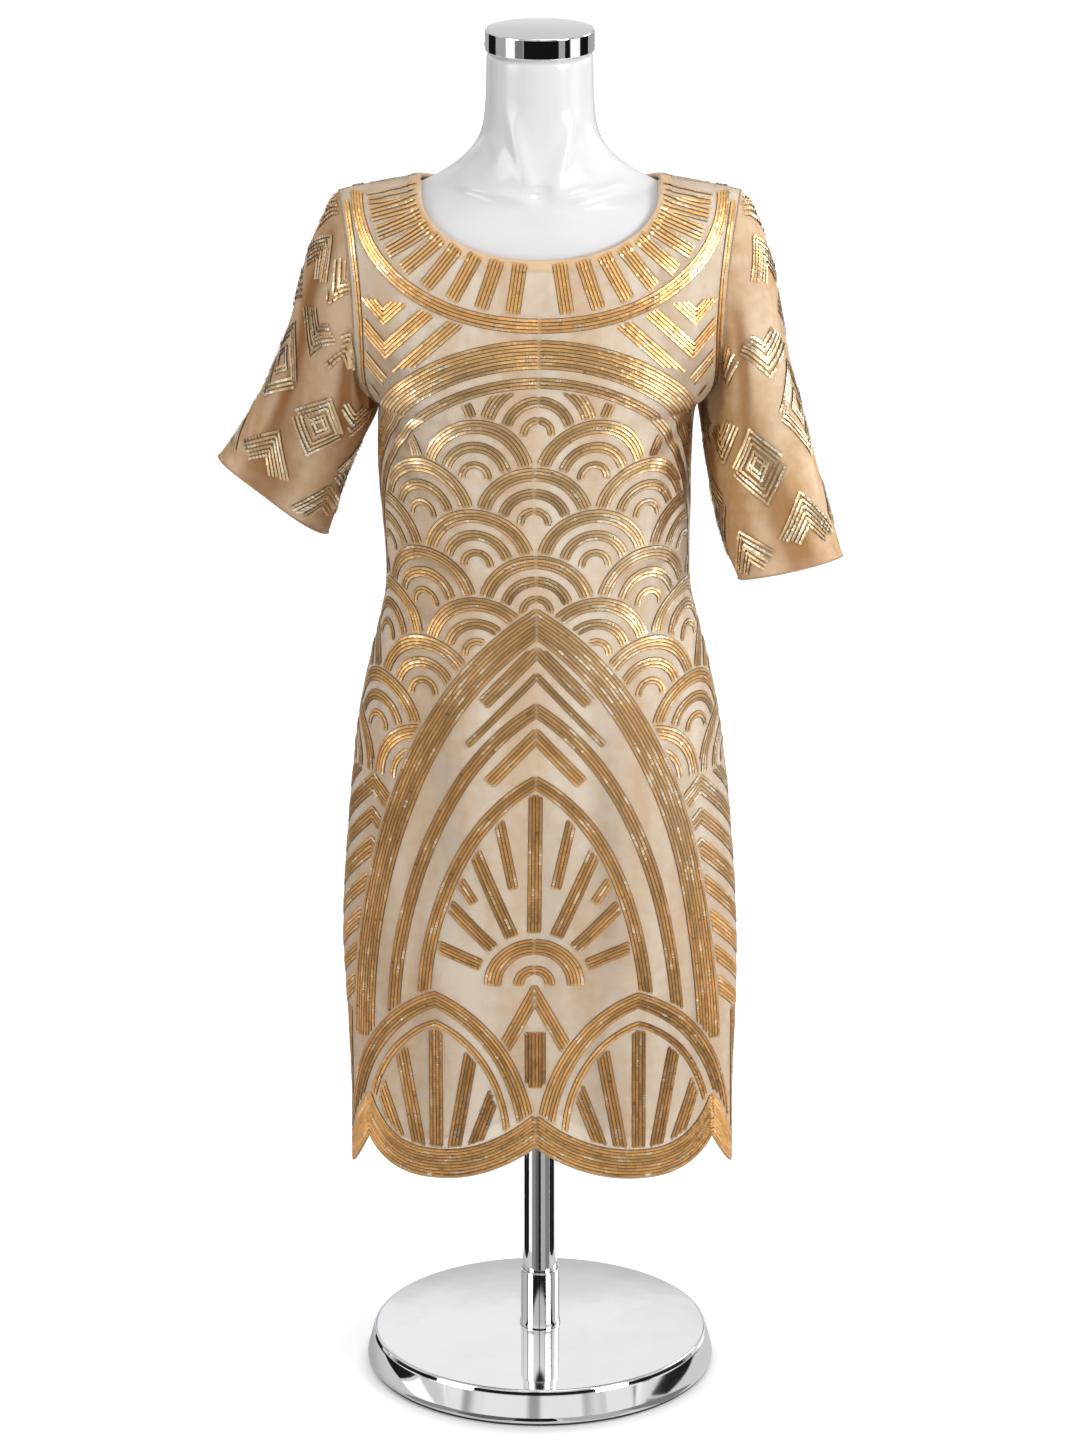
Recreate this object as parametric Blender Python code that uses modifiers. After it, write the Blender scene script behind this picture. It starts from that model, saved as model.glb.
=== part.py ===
"""Cocktail dress on a limbless dress form with a round plate stand.

The dress is cut as front, back and two sleeves of net over a front and back lining, with a
narrow self binding round the neck.  It hangs on a smooth form that stands on a pole and base.
Metres, +Z up.  The wearer faces -Y, the base underside is on z = 0 and its centre is the origin.
"""

import math

import bpy
import numpy as np

OBJECT_NAME = "cocktail_dress_on_form"
MM = 0.001

# Cloth build-up, from the outside in.
NET_WALL = 1.2 * MM
LINING_DEPTH = 2.9 * MM
LINING_WALL = 1.0 * MM
SEAM_GAP = 0.3 * MM

# Neck edge.
NECK_HALF_WIDTH = 105 * MM
FRONT_NECK_Z = 1061 * MM
BACK_NECK_Z = 1096 * MM
NECK_POWER = 2.15
BINDING_WIDTH = 9 * MM
BINDING_WALL = 1.0 * MM
BINDING_LIFT = 0.55 * MM
BINDING_REFINE = 2
SLEEVE_GAP = 0.6 * MM

# Shoulder and underarm points of the body panels.
SHOULDER_X = 175 * MM
SHOULDER_Z = 1104 * MM
UNDERARM_X = 139.5 * MM
UNDERARM_Z = 919 * MM

# Scalloped hem and the straight hem of the lining above it.
HEM_CUSP_Z = 232 * MM
HEM_LOW_Z = 198 * MM
HEM_TURN_DEG = -3.0
SCALLOP_BREAKS_DEG = (-90, -64, 0, 64, 90)
SCALLOP_CELLS = (3, 9, 9, 3)
SCALLOP_POWER = 2.3

# Yoke grid: columns follow the scallop cells, the outer share of each half lies on the shoulder.
SHOULDER_SHARE = 1 / 3
YOKE_CELLS = 8
YOKE_CROWDING = 1.35
NECK_CROWDING = 1.4
LINING_INSET = 2.0 * MM
INSET_RISE = 12 * MM
FINER = 4

SECTION_POWER = 2.1

# Outside of the body cloth in millimetres, one row per level.
# level, half width, front reach, back reach, seam y, end power, middle x
DRESS_SECTIONS = (
    (1120, 90, 44.0, 62.0, 5.0, 1.00, 0.0),
    (1116, 105, 46.0, 64.0, 5.0, 0.98, 0.0),
    (1113.5, 122, 48.0, 66.0, 5.5, 0.96, 0.0),
    (1110.5, 142, 50.5, 68.5, 6.0, 0.92, 0.0),
    (1107, 162, 53.0, 71.0, 6.0, 0.87, 0.0),
    (1104, 175, 55.5, 73.5, 6.0, 0.83, 0.0),
    (1095, 181, 62.5, 82.0, 6.0, 0.74, 0.0),
    (1083, 185, 70.0, 88.5, 5.5, 0.66, 0.0),
    (1067, 187.5, 77.5, 94.0, 5.0, 0.58, 0.0),
    (1050, 187, 83.5, 97.0, 4.0, 0.53, 0.0),
    (1032, 184.5, 88.5, 99.0, 3.0, 0.50, 0.0),
    (1011, 181, 93.5, 100.0, 2.0, 0.48, -0.3),
    (976, 174, 101.0, 99.0, 0.0, 0.48, -0.8),
    (957, 168, 105.0, 97.5, -1.0, 0.48, -1.0),
    (938, 160.5, 108.0, 96.0, -1.5, 0.48, -1.2),
    (925, 150, 109.5, 95.0, -2.0, 0.48, -1.5),
    (919, 140, 110.0, 94.5, -2.0, 0.48, -1.8),
    (898, 138.5, 111.5, 93.5, -2.0, 0.48, -3.8),
    (861, 137.4, 108.0, 92.0, -2.0, 0.48, -4.6),
    (824, 136.2, 103.0, 92.5, -1.5, 0.48, -3.6),
    (787, 134.4, 100.0, 95.0, -1.0, 0.48, -2.2),
    (769, 134.0, 99.0, 96.0, -0.5, 0.48, -1.8),
    (750, 134.4, 98.7, 97.0, 0.0, 0.48, -1.6),
    (713, 141.6, 98.2, 99.5, 1.0, 0.48, -1.0),
    (676, 150.8, 97.5, 102.5, 2.5, 0.48, -0.9),
    (638, 158.3, 96.3, 105.0, 4.0, 0.48, -0.9),
    (601, 164.0, 94.5, 107.0, 5.5, 0.48, -0.8),
    (563, 168.0, 92.8, 108.0, 6.5, 0.48, -0.4),
    (525, 171.4, 91.0, 105.5, 6.5, 0.48, -0.4),
    (448, 176.6, 88.0, 96.0, 4.0, 0.48, -0.4),
    (410, 177.6, 84.0, 88.5, 2.5, 0.48, 0.0),
    (371, 176.6, 78.5, 80.0, 1.0, 0.48, 0.9),
    (332, 175.4, 72.0, 71.5, 0.0, 0.48, 1.6),
    (293, 173.6, 66.0, 63.5, -1.0, 0.48, 1.6),
    (254, 172.9, 61.0, 57.5, -2.0, 0.48, 1.8),
    (224, 173.1, 58.5, 55.0, -2.0, 0.48, 1.8),
    (190, 173.2, 57.0, 53.5, -2.0, 0.48, 1.8),
)

# Armhole edge of the body panels in millimetres: level, distance from the centre.
ARMHOLE = (
    (1104, 175.0),
    (1095, 173.0),
    (1083, 170.7),
    (1067, 167.8),
    (1050, 165.6),
    (1032, 163.6),
    (1011, 162.0),
    (976, 160.4),
    (957, 159.8),
    (944, 158.3),
    (935, 155.5),
    (927, 150.0),
    (922, 144.5),
    (919, 139.5),
)

ARMHOLE_SAMPLES = 400
ARMHOLE_CROWDING = 1.6

# Levels in millimetres of the loft below the underarm.
PANEL_LEVELS = (919, 892, 866, 838, 810, 789, 769, 748, 722, 690, 650, 605, 560, 510, 455, 395, 335)
PANEL_HEM_SHARES = (0.36, 0.7, 1.0)
LINING_LEVELS = (919, 880, 838, 800, 769, 735, 690, 625, 540, 455, 370, 316, 282)

# Form in millimetres, bottom to top: level, half width, front reach, back reach, middle y, end power
FORM_SECTIONS = (
    (404, 150, 62.0, 68.0, 4.0, 0.48),
    (412, 158, 69.0, 76.0, 4.0, 0.48),
    (430, 163, 74.5, 82.5, 5.0, 0.48),
    (460, 167, 78.0, 88.5, 5.5, 0.48),
    (510, 166.5, 81.5, 95.5, 6.0, 0.48),
    (560, 163, 84.5, 100.5, 6.0, 0.48),
    (610, 155, 85.5, 101.0, 5.5, 0.48),
    (660, 143, 84.5, 97.0, 4.5, 0.48),
    (705, 129, 82.0, 90.0, 2.5, 0.48),
    (745, 119, 80.0, 84.0, 0.5, 0.48),
    (775, 117, 80.5, 81.0, -0.5, 0.48),
    (810, 120, 86.0, 81.5, -1.0, 0.48),
    (850, 123.5, 97.0, 84.0, -2.0, 0.48),
    (885, 126, 104.0, 86.5, -2.0, 0.48),
    (910, 129, 104.5, 88.0, -2.0, 0.48),
    (940, 137, 101.5, 90.0, -1.5, 0.48),
    (975, 149, 95.5, 93.0, 0.0, 0.47),
    (1010, 156.5, 88.0, 94.0, 2.0, 0.47),
    (1040, 159.5, 80.5, 92.0, 4.0, 0.49),
    (1063, 160, 73.5, 88.0, 5.0, 0.53),
    (1080, 157.5, 67.5, 81.5, 5.5, 0.60),
    (1091, 151, 63.5, 76.5, 6.0, 0.70),
    (1099, 139, 61.0, 74.0, 6.0, 0.78),
    (1105, 123, 59.3, 72.3, 5.5, 0.84),
    (1110, 107, 57.7, 70.9, 5.0, 0.86),
    (1116, 95, 56.0, 69.0, 4.5, 0.83),
    (1122, 84, 54.5, 66.8, 4.0, 0.77),
    (1130, 72.5, 53.0, 63.5, 3.5, 0.69),
    (1140, 61.5, 51.0, 59.5, 2.5, 0.60),
    (1152, 53.5, 49.5, 55.5, 1.5, 0.54),
    (1166, 49.2, 48.5, 52.0, 1.0, 0.50),
    (1190, 47.0, 47.0, 49.0, 0.5, 0.50),
    (1224, 46.0, 46.0, 46.0, 0.0, 0.50),
    (1227.7, 43.0, 43.0, 43.0, 0.0, 0.50),
)
FORM_COLUMNS = 36
FORM_UNDERSIDE_Z = 400 * MM
FORM_UNDERSIDE_SHARE = 0.92

# Sleeves in millimetres, armhole to cuff; left and right are the wearer's.  The right one
# swings back and the left one forward.
# outer x, outer z, inner x, inner z, middle y, half depth, front drop
SLEEVE_RIGHT_RINGS = (
    (175.0, 1104.0, 139.5, 919.0, 3.0, 42.0, 0.0),
    (182.5, 1094.0, 140.5, 911.5, 5.0, 45.0, 0.0),
    (191.0, 1076.0, 143.0, 904.0, 8.0, 48.0, 0.0),
    (202.0, 1052.0, 147.5, 893.5, 13.0, 50.0, 0.0),
    (210.0, 1022.0, 153.0, 881.0, 20.0, 50.5, -0.5),
    (219.0, 985.0, 159.0, 866.0, 29.0, 50.5, -1.5),
    (231.0, 949.0, 166.0, 848.5, 40.0, 50.0, -2.5),
    (246.0, 914.0, 173.0, 826.5, 52.0, 49.5, -3.5),
    (264.0, 877.0, 180.5, 800.0, 66.0, 49.0, -4.5),
    (287.0, 842.5, 189.5, 771.0, 80.0, 48.5, -5.5),
)
SLEEVE_LEFT_RINGS = (
    (175.0, 1104.0, 139.5, 919.0, 2.0, 42.0, 0.0),
    (183.5, 1093.0, 141.0, 909.0, 1.0, 45.0, 0.0),
    (194.0, 1070.0, 142.5, 896.0, -1.0, 47.5, -0.5),
    (203.5, 1040.0, 144.0, 881.0, -5.0, 49.0, -1.0),
    (210.0, 1003.0, 146.0, 864.0, -11.0, 49.5, -2.0),
    (218.0, 963.0, 149.0, 845.0, -19.0, 49.5, -3.5),
    (228.0, 921.0, 153.5, 824.0, -29.0, 49.0, -5.0),
    (240.0, 877.0, 159.0, 802.0, -40.0, 48.5, -6.5),
    (252.0, 834.0, 166.0, 786.0, -51.0, 48.0, -8.0),
    (264.0, 792.0, 173.0, 771.0, -62.0, 47.5, -9.5),
)
SLEEVES = (("sleeve_right", -1, SLEEVE_RIGHT_RINGS), ("sleeve_left", 1, SLEEVE_LEFT_RINGS))
SLEEVE_BLEND_ROWS = 5

# Stand, radii and heights.
CAP_RADIUS = 47.5 * MM
CAP_BOTTOM_Z = 1228 * MM
CAP_TOP_Z = 1248 * MM
CAP_EDGE = 2.0 * MM
POLE_RADIUS = 15.8 * MM
FLANGE_RADIUS = 42 * MM
FLANGE_HEIGHT = 6 * MM
BASE_TOP_RADIUS = 152 * MM
BASE_BOTTOM_RADIUS = 160 * MM
BASE_HEIGHT = 33 * MM
BASE_EDGE = 3.5 * MM
SOCKET_RADIUS = 18.2 * MM
SOCKET_BORE = 16.1 * MM
SOCKET_HEIGHT = 55 * MM
SOCKET_EDGE = 1.2 * MM
TURN_STEPS = 32
BASE_STEPS = 72
EDGE_STEPS = 3

# Name: base colour, roughness, metallic.
MATERIALS = {
    "net_cloth": ((0.66, 0.52, 0.36), 0.62, 0.0),
    "sleeve_net": ((0.60, 0.45, 0.30), 0.62, 0.0),
    "lining_cloth": ((0.71, 0.58, 0.44), 0.7, 0.0),
    "binding_cloth": ((0.68, 0.54, 0.38), 0.65, 0.0),
    "form_white": ((0.86, 0.86, 0.87), 0.22, 0.0),
    "chrome": ((0.80, 0.80, 0.81), 0.08, 1.0),
}


def smooth_table(levels, values, at):
    """Monotone cubic through a table with rising levels, so a curve never swings past its rows."""
    steps = np.diff(levels)
    slopes = np.diff(values) / steps
    before, after = slopes[:-1], slopes[1:]
    weight_a = 2 * steps[1:] + steps[:-1]
    weight_b = steps[1:] + 2 * steps[:-1]
    same_way = before * after > 0
    safe_before = np.where(same_way, before, 1.0)
    safe_after = np.where(same_way, after, 1.0)
    harmonic = (weight_a + weight_b) / (weight_a / safe_before + weight_b / safe_after)
    tangents = np.empty(len(levels))
    tangents[1:-1] = np.where(same_way, harmonic, 0.0)
    tangents[0], tangents[-1] = slopes[0], slopes[-1]
    at = np.clip(at, levels[0], levels[-1])
    row = np.clip(np.searchsorted(levels, at) - 1, 0, len(levels) - 2)
    t = (at - levels[row]) / steps[row]
    rise = t * t * (3 - 2 * t)
    start = values[row] * (1 - rise) + values[row + 1] * rise
    bend = tangents[row] * t * (1 - t) ** 2 - tangents[row + 1] * t * t * (1 - t)
    return start + bend * steps[row]


def table_columns(table):
    """Levels and value columns of a table in metres, sorted to rising level."""
    rows = np.array(sorted(table), float)
    return rows[:, 0] * MM, rows[:, 1:]


def dress_section(z):
    """Half width, front reach, back reach, seam y, end power and middle x of the cloth at z."""
    levels, values = table_columns(DRESS_SECTIONS)
    units = (MM, MM, MM, MM, 1.0, MM)
    return [smooth_table(levels, values[:, i] * unit, z) for i, unit in enumerate(units)]


def cloth_y(x, z, side):
    """Y of the outside of the cloth at x and z; side is -1 for the front and 1 for the back."""
    half, front, back, seam_y, power, middle = dress_section(z)
    reach = front + seam_y if side < 0 else back - seam_y
    share = np.clip(np.abs(x - middle) / half, 0, 1)
    return seam_y + side * reach * (1 - share**SECTION_POWER) ** power


def column_angles(finer=1):
    """Angle of each panel column from the centre line, so that a column ends at every hem cusp."""
    angles = [SCALLOP_BREAKS_DEG[0]]
    for start, end, cells in zip(SCALLOP_BREAKS_DEG, SCALLOP_BREAKS_DEG[1:], SCALLOP_CELLS):
        angles += list(np.linspace(start, end, cells * finer + 1)[1:])
    return np.radians(np.array(angles, float))


def hem_outline(finer=1):
    """Hem level at each panel column: round lobes that meet in cusps, two halves at the sides."""
    swings = [np.array([1.0])]
    for start, end, cells in zip(SCALLOP_BREAKS_DEG, SCALLOP_BREAKS_DEG[1:], SCALLOP_CELLS):
        at = np.linspace(0, 1, cells * finer + 1)[1:]
        if start == SCALLOP_BREAKS_DEG[0]:
            at = at / 2 + 0.5
        elif end == SCALLOP_BREAKS_DEG[-1]:
            at = at / 2
        swings.append(1 - np.abs(2 * at - 1) ** SCALLOP_POWER)
    return HEM_CUSP_Z - (HEM_CUSP_Z - HEM_LOW_Z) * np.concatenate(swings)


def finer_steps(values, finer):
    """A list with the given number of even steps between its neighbours."""
    at = np.arange((len(values) - 1) * finer + 1) / finer
    return np.interp(at, np.arange(len(values)), values)


def loft_rows(levels, side, hem_shares=(), finer=1):
    """Grid of the panel from the underarm down, wearer's right to left."""
    angles = column_angles(finer)
    rows = []
    for level in finer_steps(levels, finer) * MM:
        turn = math.radians(HEM_TURN_DEG) * (UNDERARM_Z - level) / UNDERARM_Z
        rows.append(section_row(np.full(len(angles), level), angles, turn, side))
    hem = hem_outline(finer)
    start = levels[-1] * MM
    for share in finer_steps((0, *hem_shares), finer)[1:]:
        z = start + (hem - start) * share
        turn = math.radians(HEM_TURN_DEG) * (UNDERARM_Z - start) / UNDERARM_Z
        rows.append(section_row(z, angles, turn, side))
    return np.array(rows)


def section_row(z, angles, turn, side):
    """Points of one panel row; the columns lean by the turn but the side seams stay put."""
    half, _, _, _, _, middle = dress_section(z)
    leaned = angles + turn * np.cos(angles)
    x = middle + half * np.sin(leaned)
    return np.stack([x, cloth_y(x, z, side), z], axis=1)


def neck_curve(shares, low_z, spread):
    """X and z along half a neck edge, centre to side; spread moves the edge down on the cloth."""
    half = NECK_HALF_WIDTH + spread
    x = half * np.sin(shares * math.pi / 2)
    side_z = shoulder_z(half)
    drop = (1 - np.clip(x / half, 0, 1) ** NECK_POWER) ** (1 / NECK_POWER)
    return x, side_z - (side_z - (low_z - spread)) * drop


def shoulder_z(x):
    """Level of the shoulder seam at x, where the cloth section is just that wide."""
    levels, values = table_columns(DRESS_SECTIONS)
    top = levels > SHOULDER_Z - 1e-6
    halves = values[top, 0] * MM
    return smooth_table(halves[::-1], levels[top][::-1], x)


def armhole_curve(shares, inset=0.0):
    """X and z along an armhole edge, underarm to shoulder, at shares of its length."""
    levels, values = table_columns(ARMHOLE)
    up = np.linspace(0, 1, ARMHOLE_SAMPLES) ** ARMHOLE_CROWDING
    z = UNDERARM_Z + (SHOULDER_Z - UNDERARM_Z) * up
    x = smooth_table(levels, values[:, 0] * MM, z)
    x = x - inset * np.clip((z - UNDERARM_Z) / INSET_RISE, 0, 1)
    length = np.concatenate([[0], np.cumsum(np.hypot(np.diff(x), np.diff(z)))])
    at = shares * length[-1]
    return np.interp(at, length, x), np.interp(at, length, z)


def crowded(cells, power):
    """Shares from 0 to 1 that crowd towards 1."""
    return 1 - (1 - np.arange(cells + 1) / cells) ** power


def neck_cell_count(finer=1):
    """Cells of half a panel that end on the neck edge; the rest end on the shoulder seam."""
    return round(sum(SCALLOP_CELLS) // 2 * (1 - SHOULDER_SHARE)) * finer


def yoke_rows(side, finer=1, inset=0.0):
    """Grid of the panel from the underarm level up to the neck edge and shoulder seams."""
    angles = column_angles(finer)
    low_z = FRONT_NECK_Z if side < 0 else BACK_NECK_Z
    half_cells = len(angles) // 2
    across = np.arange(half_cells + 1) / half_cells
    up = crowded(YOKE_CELLS * finer, YOKE_CROWDING)
    neck_cells = neck_cell_count(finer)
    neck_x, neck_z = neck_curve(crowded(neck_cells, NECK_CROWDING), low_z, 0)
    seam_x = np.linspace(neck_x[-1], SHOULDER_X - inset, half_cells - neck_cells + 1)[1:]
    top = np.stack([np.append(neck_x, seam_x), np.append(neck_z, shoulder_z(seam_x))], 1)
    bottom_x = UNDERARM_X * np.sin(angles[half_cells:])
    bottom = np.stack([bottom_x, np.full(half_cells + 1, UNDERARM_Z)], 1)
    arm = np.stack(armhole_curve(up, inset), 1)
    arm[-1] = top[-1]
    centre = np.stack([np.zeros(len(up)), UNDERARM_Z + (low_z - UNDERARM_Z) * up], 1)
    a, v = across[None, :, None], up[:, None, None]
    flat = (1 - v) * bottom[None] + v * top[None] + (1 - a) * centre[:, None] + a * arm[:, None]
    corners = (1 - v) * ((1 - a) * bottom[0] + a * bottom[-1])
    corners = corners + v * ((1 - a) * top[0] + a * top[-1])
    half_grid = flat - corners
    left = half_grid[:, :0:-1] * np.array([-1, 1])
    grid = np.concatenate([left, half_grid], axis=1)
    middle = dress_section(np.full(1, UNDERARM_Z))[5][0]
    x = grid[..., 0] + middle * (1 - up[:, None])
    return np.stack([x, cloth_y(x, grid[..., 1], side), grid[..., 1]], axis=2)[::-1]


def body_grid(side, levels, hem_shares=(), inset=0.0):
    """Points and outward normals of a whole panel, shoulder row first.

    The normals come from a grid a few times finer, so that offsets of it stay parallel.
    """
    yoke = yoke_rows(side, FINER, inset)
    lower = loft_rows(levels, side, hem_shares, FINER)
    fine = np.concatenate([yoke, lower[1:]])
    normals = -side * grid_normals(fine)
    return fine[::FINER, ::FINER], normals[::FINER, ::FINER]


def unit(vectors):
    return vectors / np.maximum(np.linalg.norm(vectors, axis=-1, keepdims=True), 1e-12)


def grid_normals(grid, around=False):
    """Unit normals of a grid from the rows down and the columns across, rows leading."""
    down = np.gradient(grid, axis=0)
    if around:
        across = (np.roll(grid, -1, axis=1) - np.roll(grid, 1, axis=1)) / 2
    else:
        across = np.gradient(grid, axis=1)
    return unit(np.cross(down, across))


def shoulder_columns():
    """Columns of a panel's first row that lie on the two shoulder seams."""
    half_cells = sum(SCALLOP_CELLS) // 2
    first = half_cells - neck_cell_count()
    return list(range(first + 1)) + list(range(2 * half_cells - first, 2 * half_cells + 1))


def share_seam_normals(front, back):
    """Gives both panels one normal along the side seams and the shoulder seams."""
    for column in (0, -1):
        common = unit(front[YOKE_CELLS:, column] + back[YOKE_CELLS:, column])
        front[YOKE_CELLS:, column] = common
        back[YOKE_CELLS:, column] = common
    columns = shoulder_columns()
    common = unit(front[0, columns] + back[0, columns])
    front[0, columns] = common
    back[0, columns] = common


def open_seams(grid, side):
    """Draws the side and shoulder edges back by half the seam gap."""
    moved = grid.copy()
    moved[YOKE_CELLS:, [0, -1], 1] += side * SEAM_GAP / 2
    moved[0, shoulder_columns(), 1] += side * SEAM_GAP / 2
    return moved


def armhole_loop(front, back, hand):
    """Outside points of one armhole, from the shoulder down the front and up the back."""
    column = -1 if hand > 0 else 0
    front_edge = front[: YOKE_CELLS + 1, column]
    back_edge = back[: YOKE_CELLS + 1, column]
    return np.concatenate([front_edge, back_edge[YOKE_CELLS - 1 : 0 : -1]])


def sleeve_grid(loop, table, hand):
    """Sleeve rings from the armhole loop to the cuff, shoulder point first in every ring."""
    rows = np.array(table, float) * MM
    length = np.linalg.norm(np.diff(loop, axis=0, append=loop[:1]), axis=1)
    travelled = np.concatenate([[0], np.cumsum(length)[:-1]])
    total, under = length.sum(), travelled[YOKE_CELLS]
    front_half = travelled <= under
    angle = np.where(
        front_half,
        math.pi * travelled / under,
        math.pi + math.pi * (travelled - under) / (total - under),
    )
    rings = []
    for outer_x, outer_z, inner_x, inner_z, mid_y, depth, drop in rows:
        across = np.cos(angle)
        x = (outer_x + inner_x) / 2 + (outer_x - inner_x) / 2 * across
        z = (outer_z + inner_z) / 2 + (outer_z - inner_z) / 2 * across - drop * np.sin(angle)
        rings.append(np.stack([hand * x, mid_y - depth * np.sin(angle), z], axis=1))
    rings = np.array(rings)
    row = np.clip(np.arange(len(rings)) / SLEEVE_BLEND_ROWS, 0, 1)[:, None, None]
    follow = 1 - row * row * (3 - 2 * row)
    return rings + follow * (loop - rings[0])[None]


def wall(name, outer, normals, depth, thickness, around=False):
    """Closed cloth wall between two offsets of a grid, with flat rims on its open edges."""
    skin = outer - normals * depth
    inside = outer - normals * (depth + thickness)
    rows, columns = outer.shape[:2]
    count = rows * columns
    spans = columns if around else columns - 1
    index = np.arange(count).reshape(rows, columns)
    right = np.roll(index, -1, axis=1)
    cells = np.stack([index[:-1, :spans], right[:-1, :spans], right[1:, :spans], index[1:, :spans]], -1)
    skin_faces = split_outwards(cells.reshape(-1, 4), outer.reshape(-1, 3), normals.reshape(-1, 3))
    faces = [skin_faces[:, ::-1], skin_faces + count]
    for row, flip in ((0, False), (rows - 1, True)):
        p, q = index[row, :spans], right[row, :spans]
        faces.append(rim_faces(p, q, count, flip))
    if not around:
        for column, flip in ((0, True), (columns - 1, False)):
            p, q = index[:-1, column], index[1:, column]
            faces.append(rim_faces(p, q, count, flip))
    faces = np.concatenate(faces)
    if (grid_normals(outer, around) * normals).sum() < 0:
        faces = faces[:, ::-1]
    points = np.concatenate([skin.reshape(-1, 3), inside.reshape(-1, 3)])
    return add_mesh(name, points, faces)


def split_outwards(cells, points, normals):
    """Two triangles per cell, cut along the diagonal that stands further out."""
    a, b, c, d = cells.T
    lift = points[a] + points[c] - points[b] - points[d]
    over = ((lift * normals[cells].sum(axis=1)).sum(axis=1) > 0)[:, None]
    first = np.where(over, np.stack([a, b, c], 1), np.stack([a, b, d], 1))
    second = np.where(over, np.stack([a, c, d], 1), np.stack([b, c, d], 1))
    return np.concatenate([first, second])


def rim_faces(p, q, count, flip):
    """Triangles that join an edge of the outer skin to the same edge of the inner skin."""
    rim = np.concatenate([np.stack([p, q, q + count], 1), np.stack([p, q + count, p + count], 1)])
    return rim[:, ::-1] if flip else rim


def add_mesh(name, points, faces):
    """Mesh object with outward faces and smooth shading."""
    mesh = bpy.data.meshes.new(name)
    mesh.from_pydata([tuple(p) for p in points], [], [tuple(int(i) for i in f) for f in faces])
    mesh.validate()
    obj = bpy.data.objects.new(name, mesh)
    link(obj)
    shade(obj)
    return obj


def link(obj):
    bpy.data.collections[OBJECT_NAME].objects.link(obj)


def shade(obj, angle_deg=40):
    obj.data.shade_smooth()
    obj.data.set_sharp_from_angle(angle=math.radians(angle_deg))


def seam_away(loop, normals, centre):
    """Direction in the cloth at each loop point that leads away from the body panel."""
    along = np.roll(loop, -1, axis=0) - np.roll(loop, 1, axis=0)
    away = unit(np.cross(along, normals))
    return away if (away * (loop - centre)).sum() > 0 else -away


def build_body_and_sleeves():
    """Net panels and sleeves with mitred seams, so that neighbours stay one gap apart."""
    front, front_normals = body_grid(-1, PANEL_LEVELS, PANEL_HEM_SHARES)
    back, back_normals = body_grid(1, PANEL_LEVELS, PANEL_HEM_SHARES)
    normals = [front_normals, back_normals]
    share_seam_normals(*normals)
    sleeves = []
    for name, hand, table in SLEEVES:
        loop = armhole_loop(front, back, hand)
        edge_normals = armhole_loop(normals[0], normals[1], hand)
        grid = sleeve_grid(loop, table, hand)
        sleeve_normals = -hand * grid_normals(grid, around=True)
        mitre = unit(edge_normals + sleeve_normals[0])
        away = seam_away(loop, mitre, np.array([0, 0, loop[:, 2].mean()]))
        grid[:2] += away * SLEEVE_GAP
        sleeve_normals[0] = mitre
        column = -1 if hand > 0 else 0
        normals[0][: YOKE_CELLS + 1, column] = mitre[: YOKE_CELLS + 1]
        normals[1][1:YOKE_CELLS, column] = mitre[:YOKE_CELLS:-1]
        normals[1][0, column] = mitre[0]
        normals[1][YOKE_CELLS, column] = mitre[YOKE_CELLS]
        sleeves.append((name, grid, sleeve_normals))
    made = [
        wall("front_panel", open_seams(front, -1), normals[0], 0, NET_WALL),
        wall("back_panel", open_seams(back, 1), normals[1], 0, NET_WALL),
    ]
    paint(made, "net_cloth")
    tubes = [wall(name, grid, turned, 0, NET_WALL, around=True) for name, grid, turned in sleeves]
    paint(tubes, "sleeve_net")


def build_lining():
    """Front and back lining a little inside the net, straight at the hem."""
    front, front_normals = body_grid(-1, LINING_LEVELS, inset=LINING_INSET)
    back, back_normals = body_grid(1, LINING_LEVELS, inset=LINING_INSET)
    normals = [front_normals, back_normals]
    share_seam_normals(*normals)
    made = [
        wall("lining_front", open_seams(front, -1), normals[0], LINING_DEPTH, LINING_WALL),
        wall("lining_back", open_seams(back, 1), normals[1], LINING_DEPTH, LINING_WALL),
    ]
    paint(made, "lining_cloth")


def build_neck_binding():
    """Closed strip that lies on the neck edge, following the front and back neck curves."""
    shares = crowded(neck_cell_count(BINDING_REFINE), NECK_CROWDING)
    rows = []
    for spread in (0, BINDING_WIDTH / 2, BINDING_WIDTH):
        loop = []
        for side, low_z in ((-1, FRONT_NECK_Z), (1, BACK_NECK_Z)):
            x, z = neck_curve(shares, low_z, spread)
            half = np.stack([x, cloth_y(x, z, side), z], axis=1)
            mirrored = half[:0:-1] * np.array([-1, 1, 1])
            arc = np.concatenate([mirrored, half])
            loop.append(arc if side < 0 else arc[::-1][1:-1])
        rows.append(np.concatenate(loop))
    grid = np.array(rows)
    normals = grid_normals(grid, around=True)
    outer_lift = -(BINDING_LIFT + BINDING_WALL)
    paint([wall("neck_binding", grid, normals, outer_lift, BINDING_WALL, around=True)], "binding_cloth")


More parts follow.
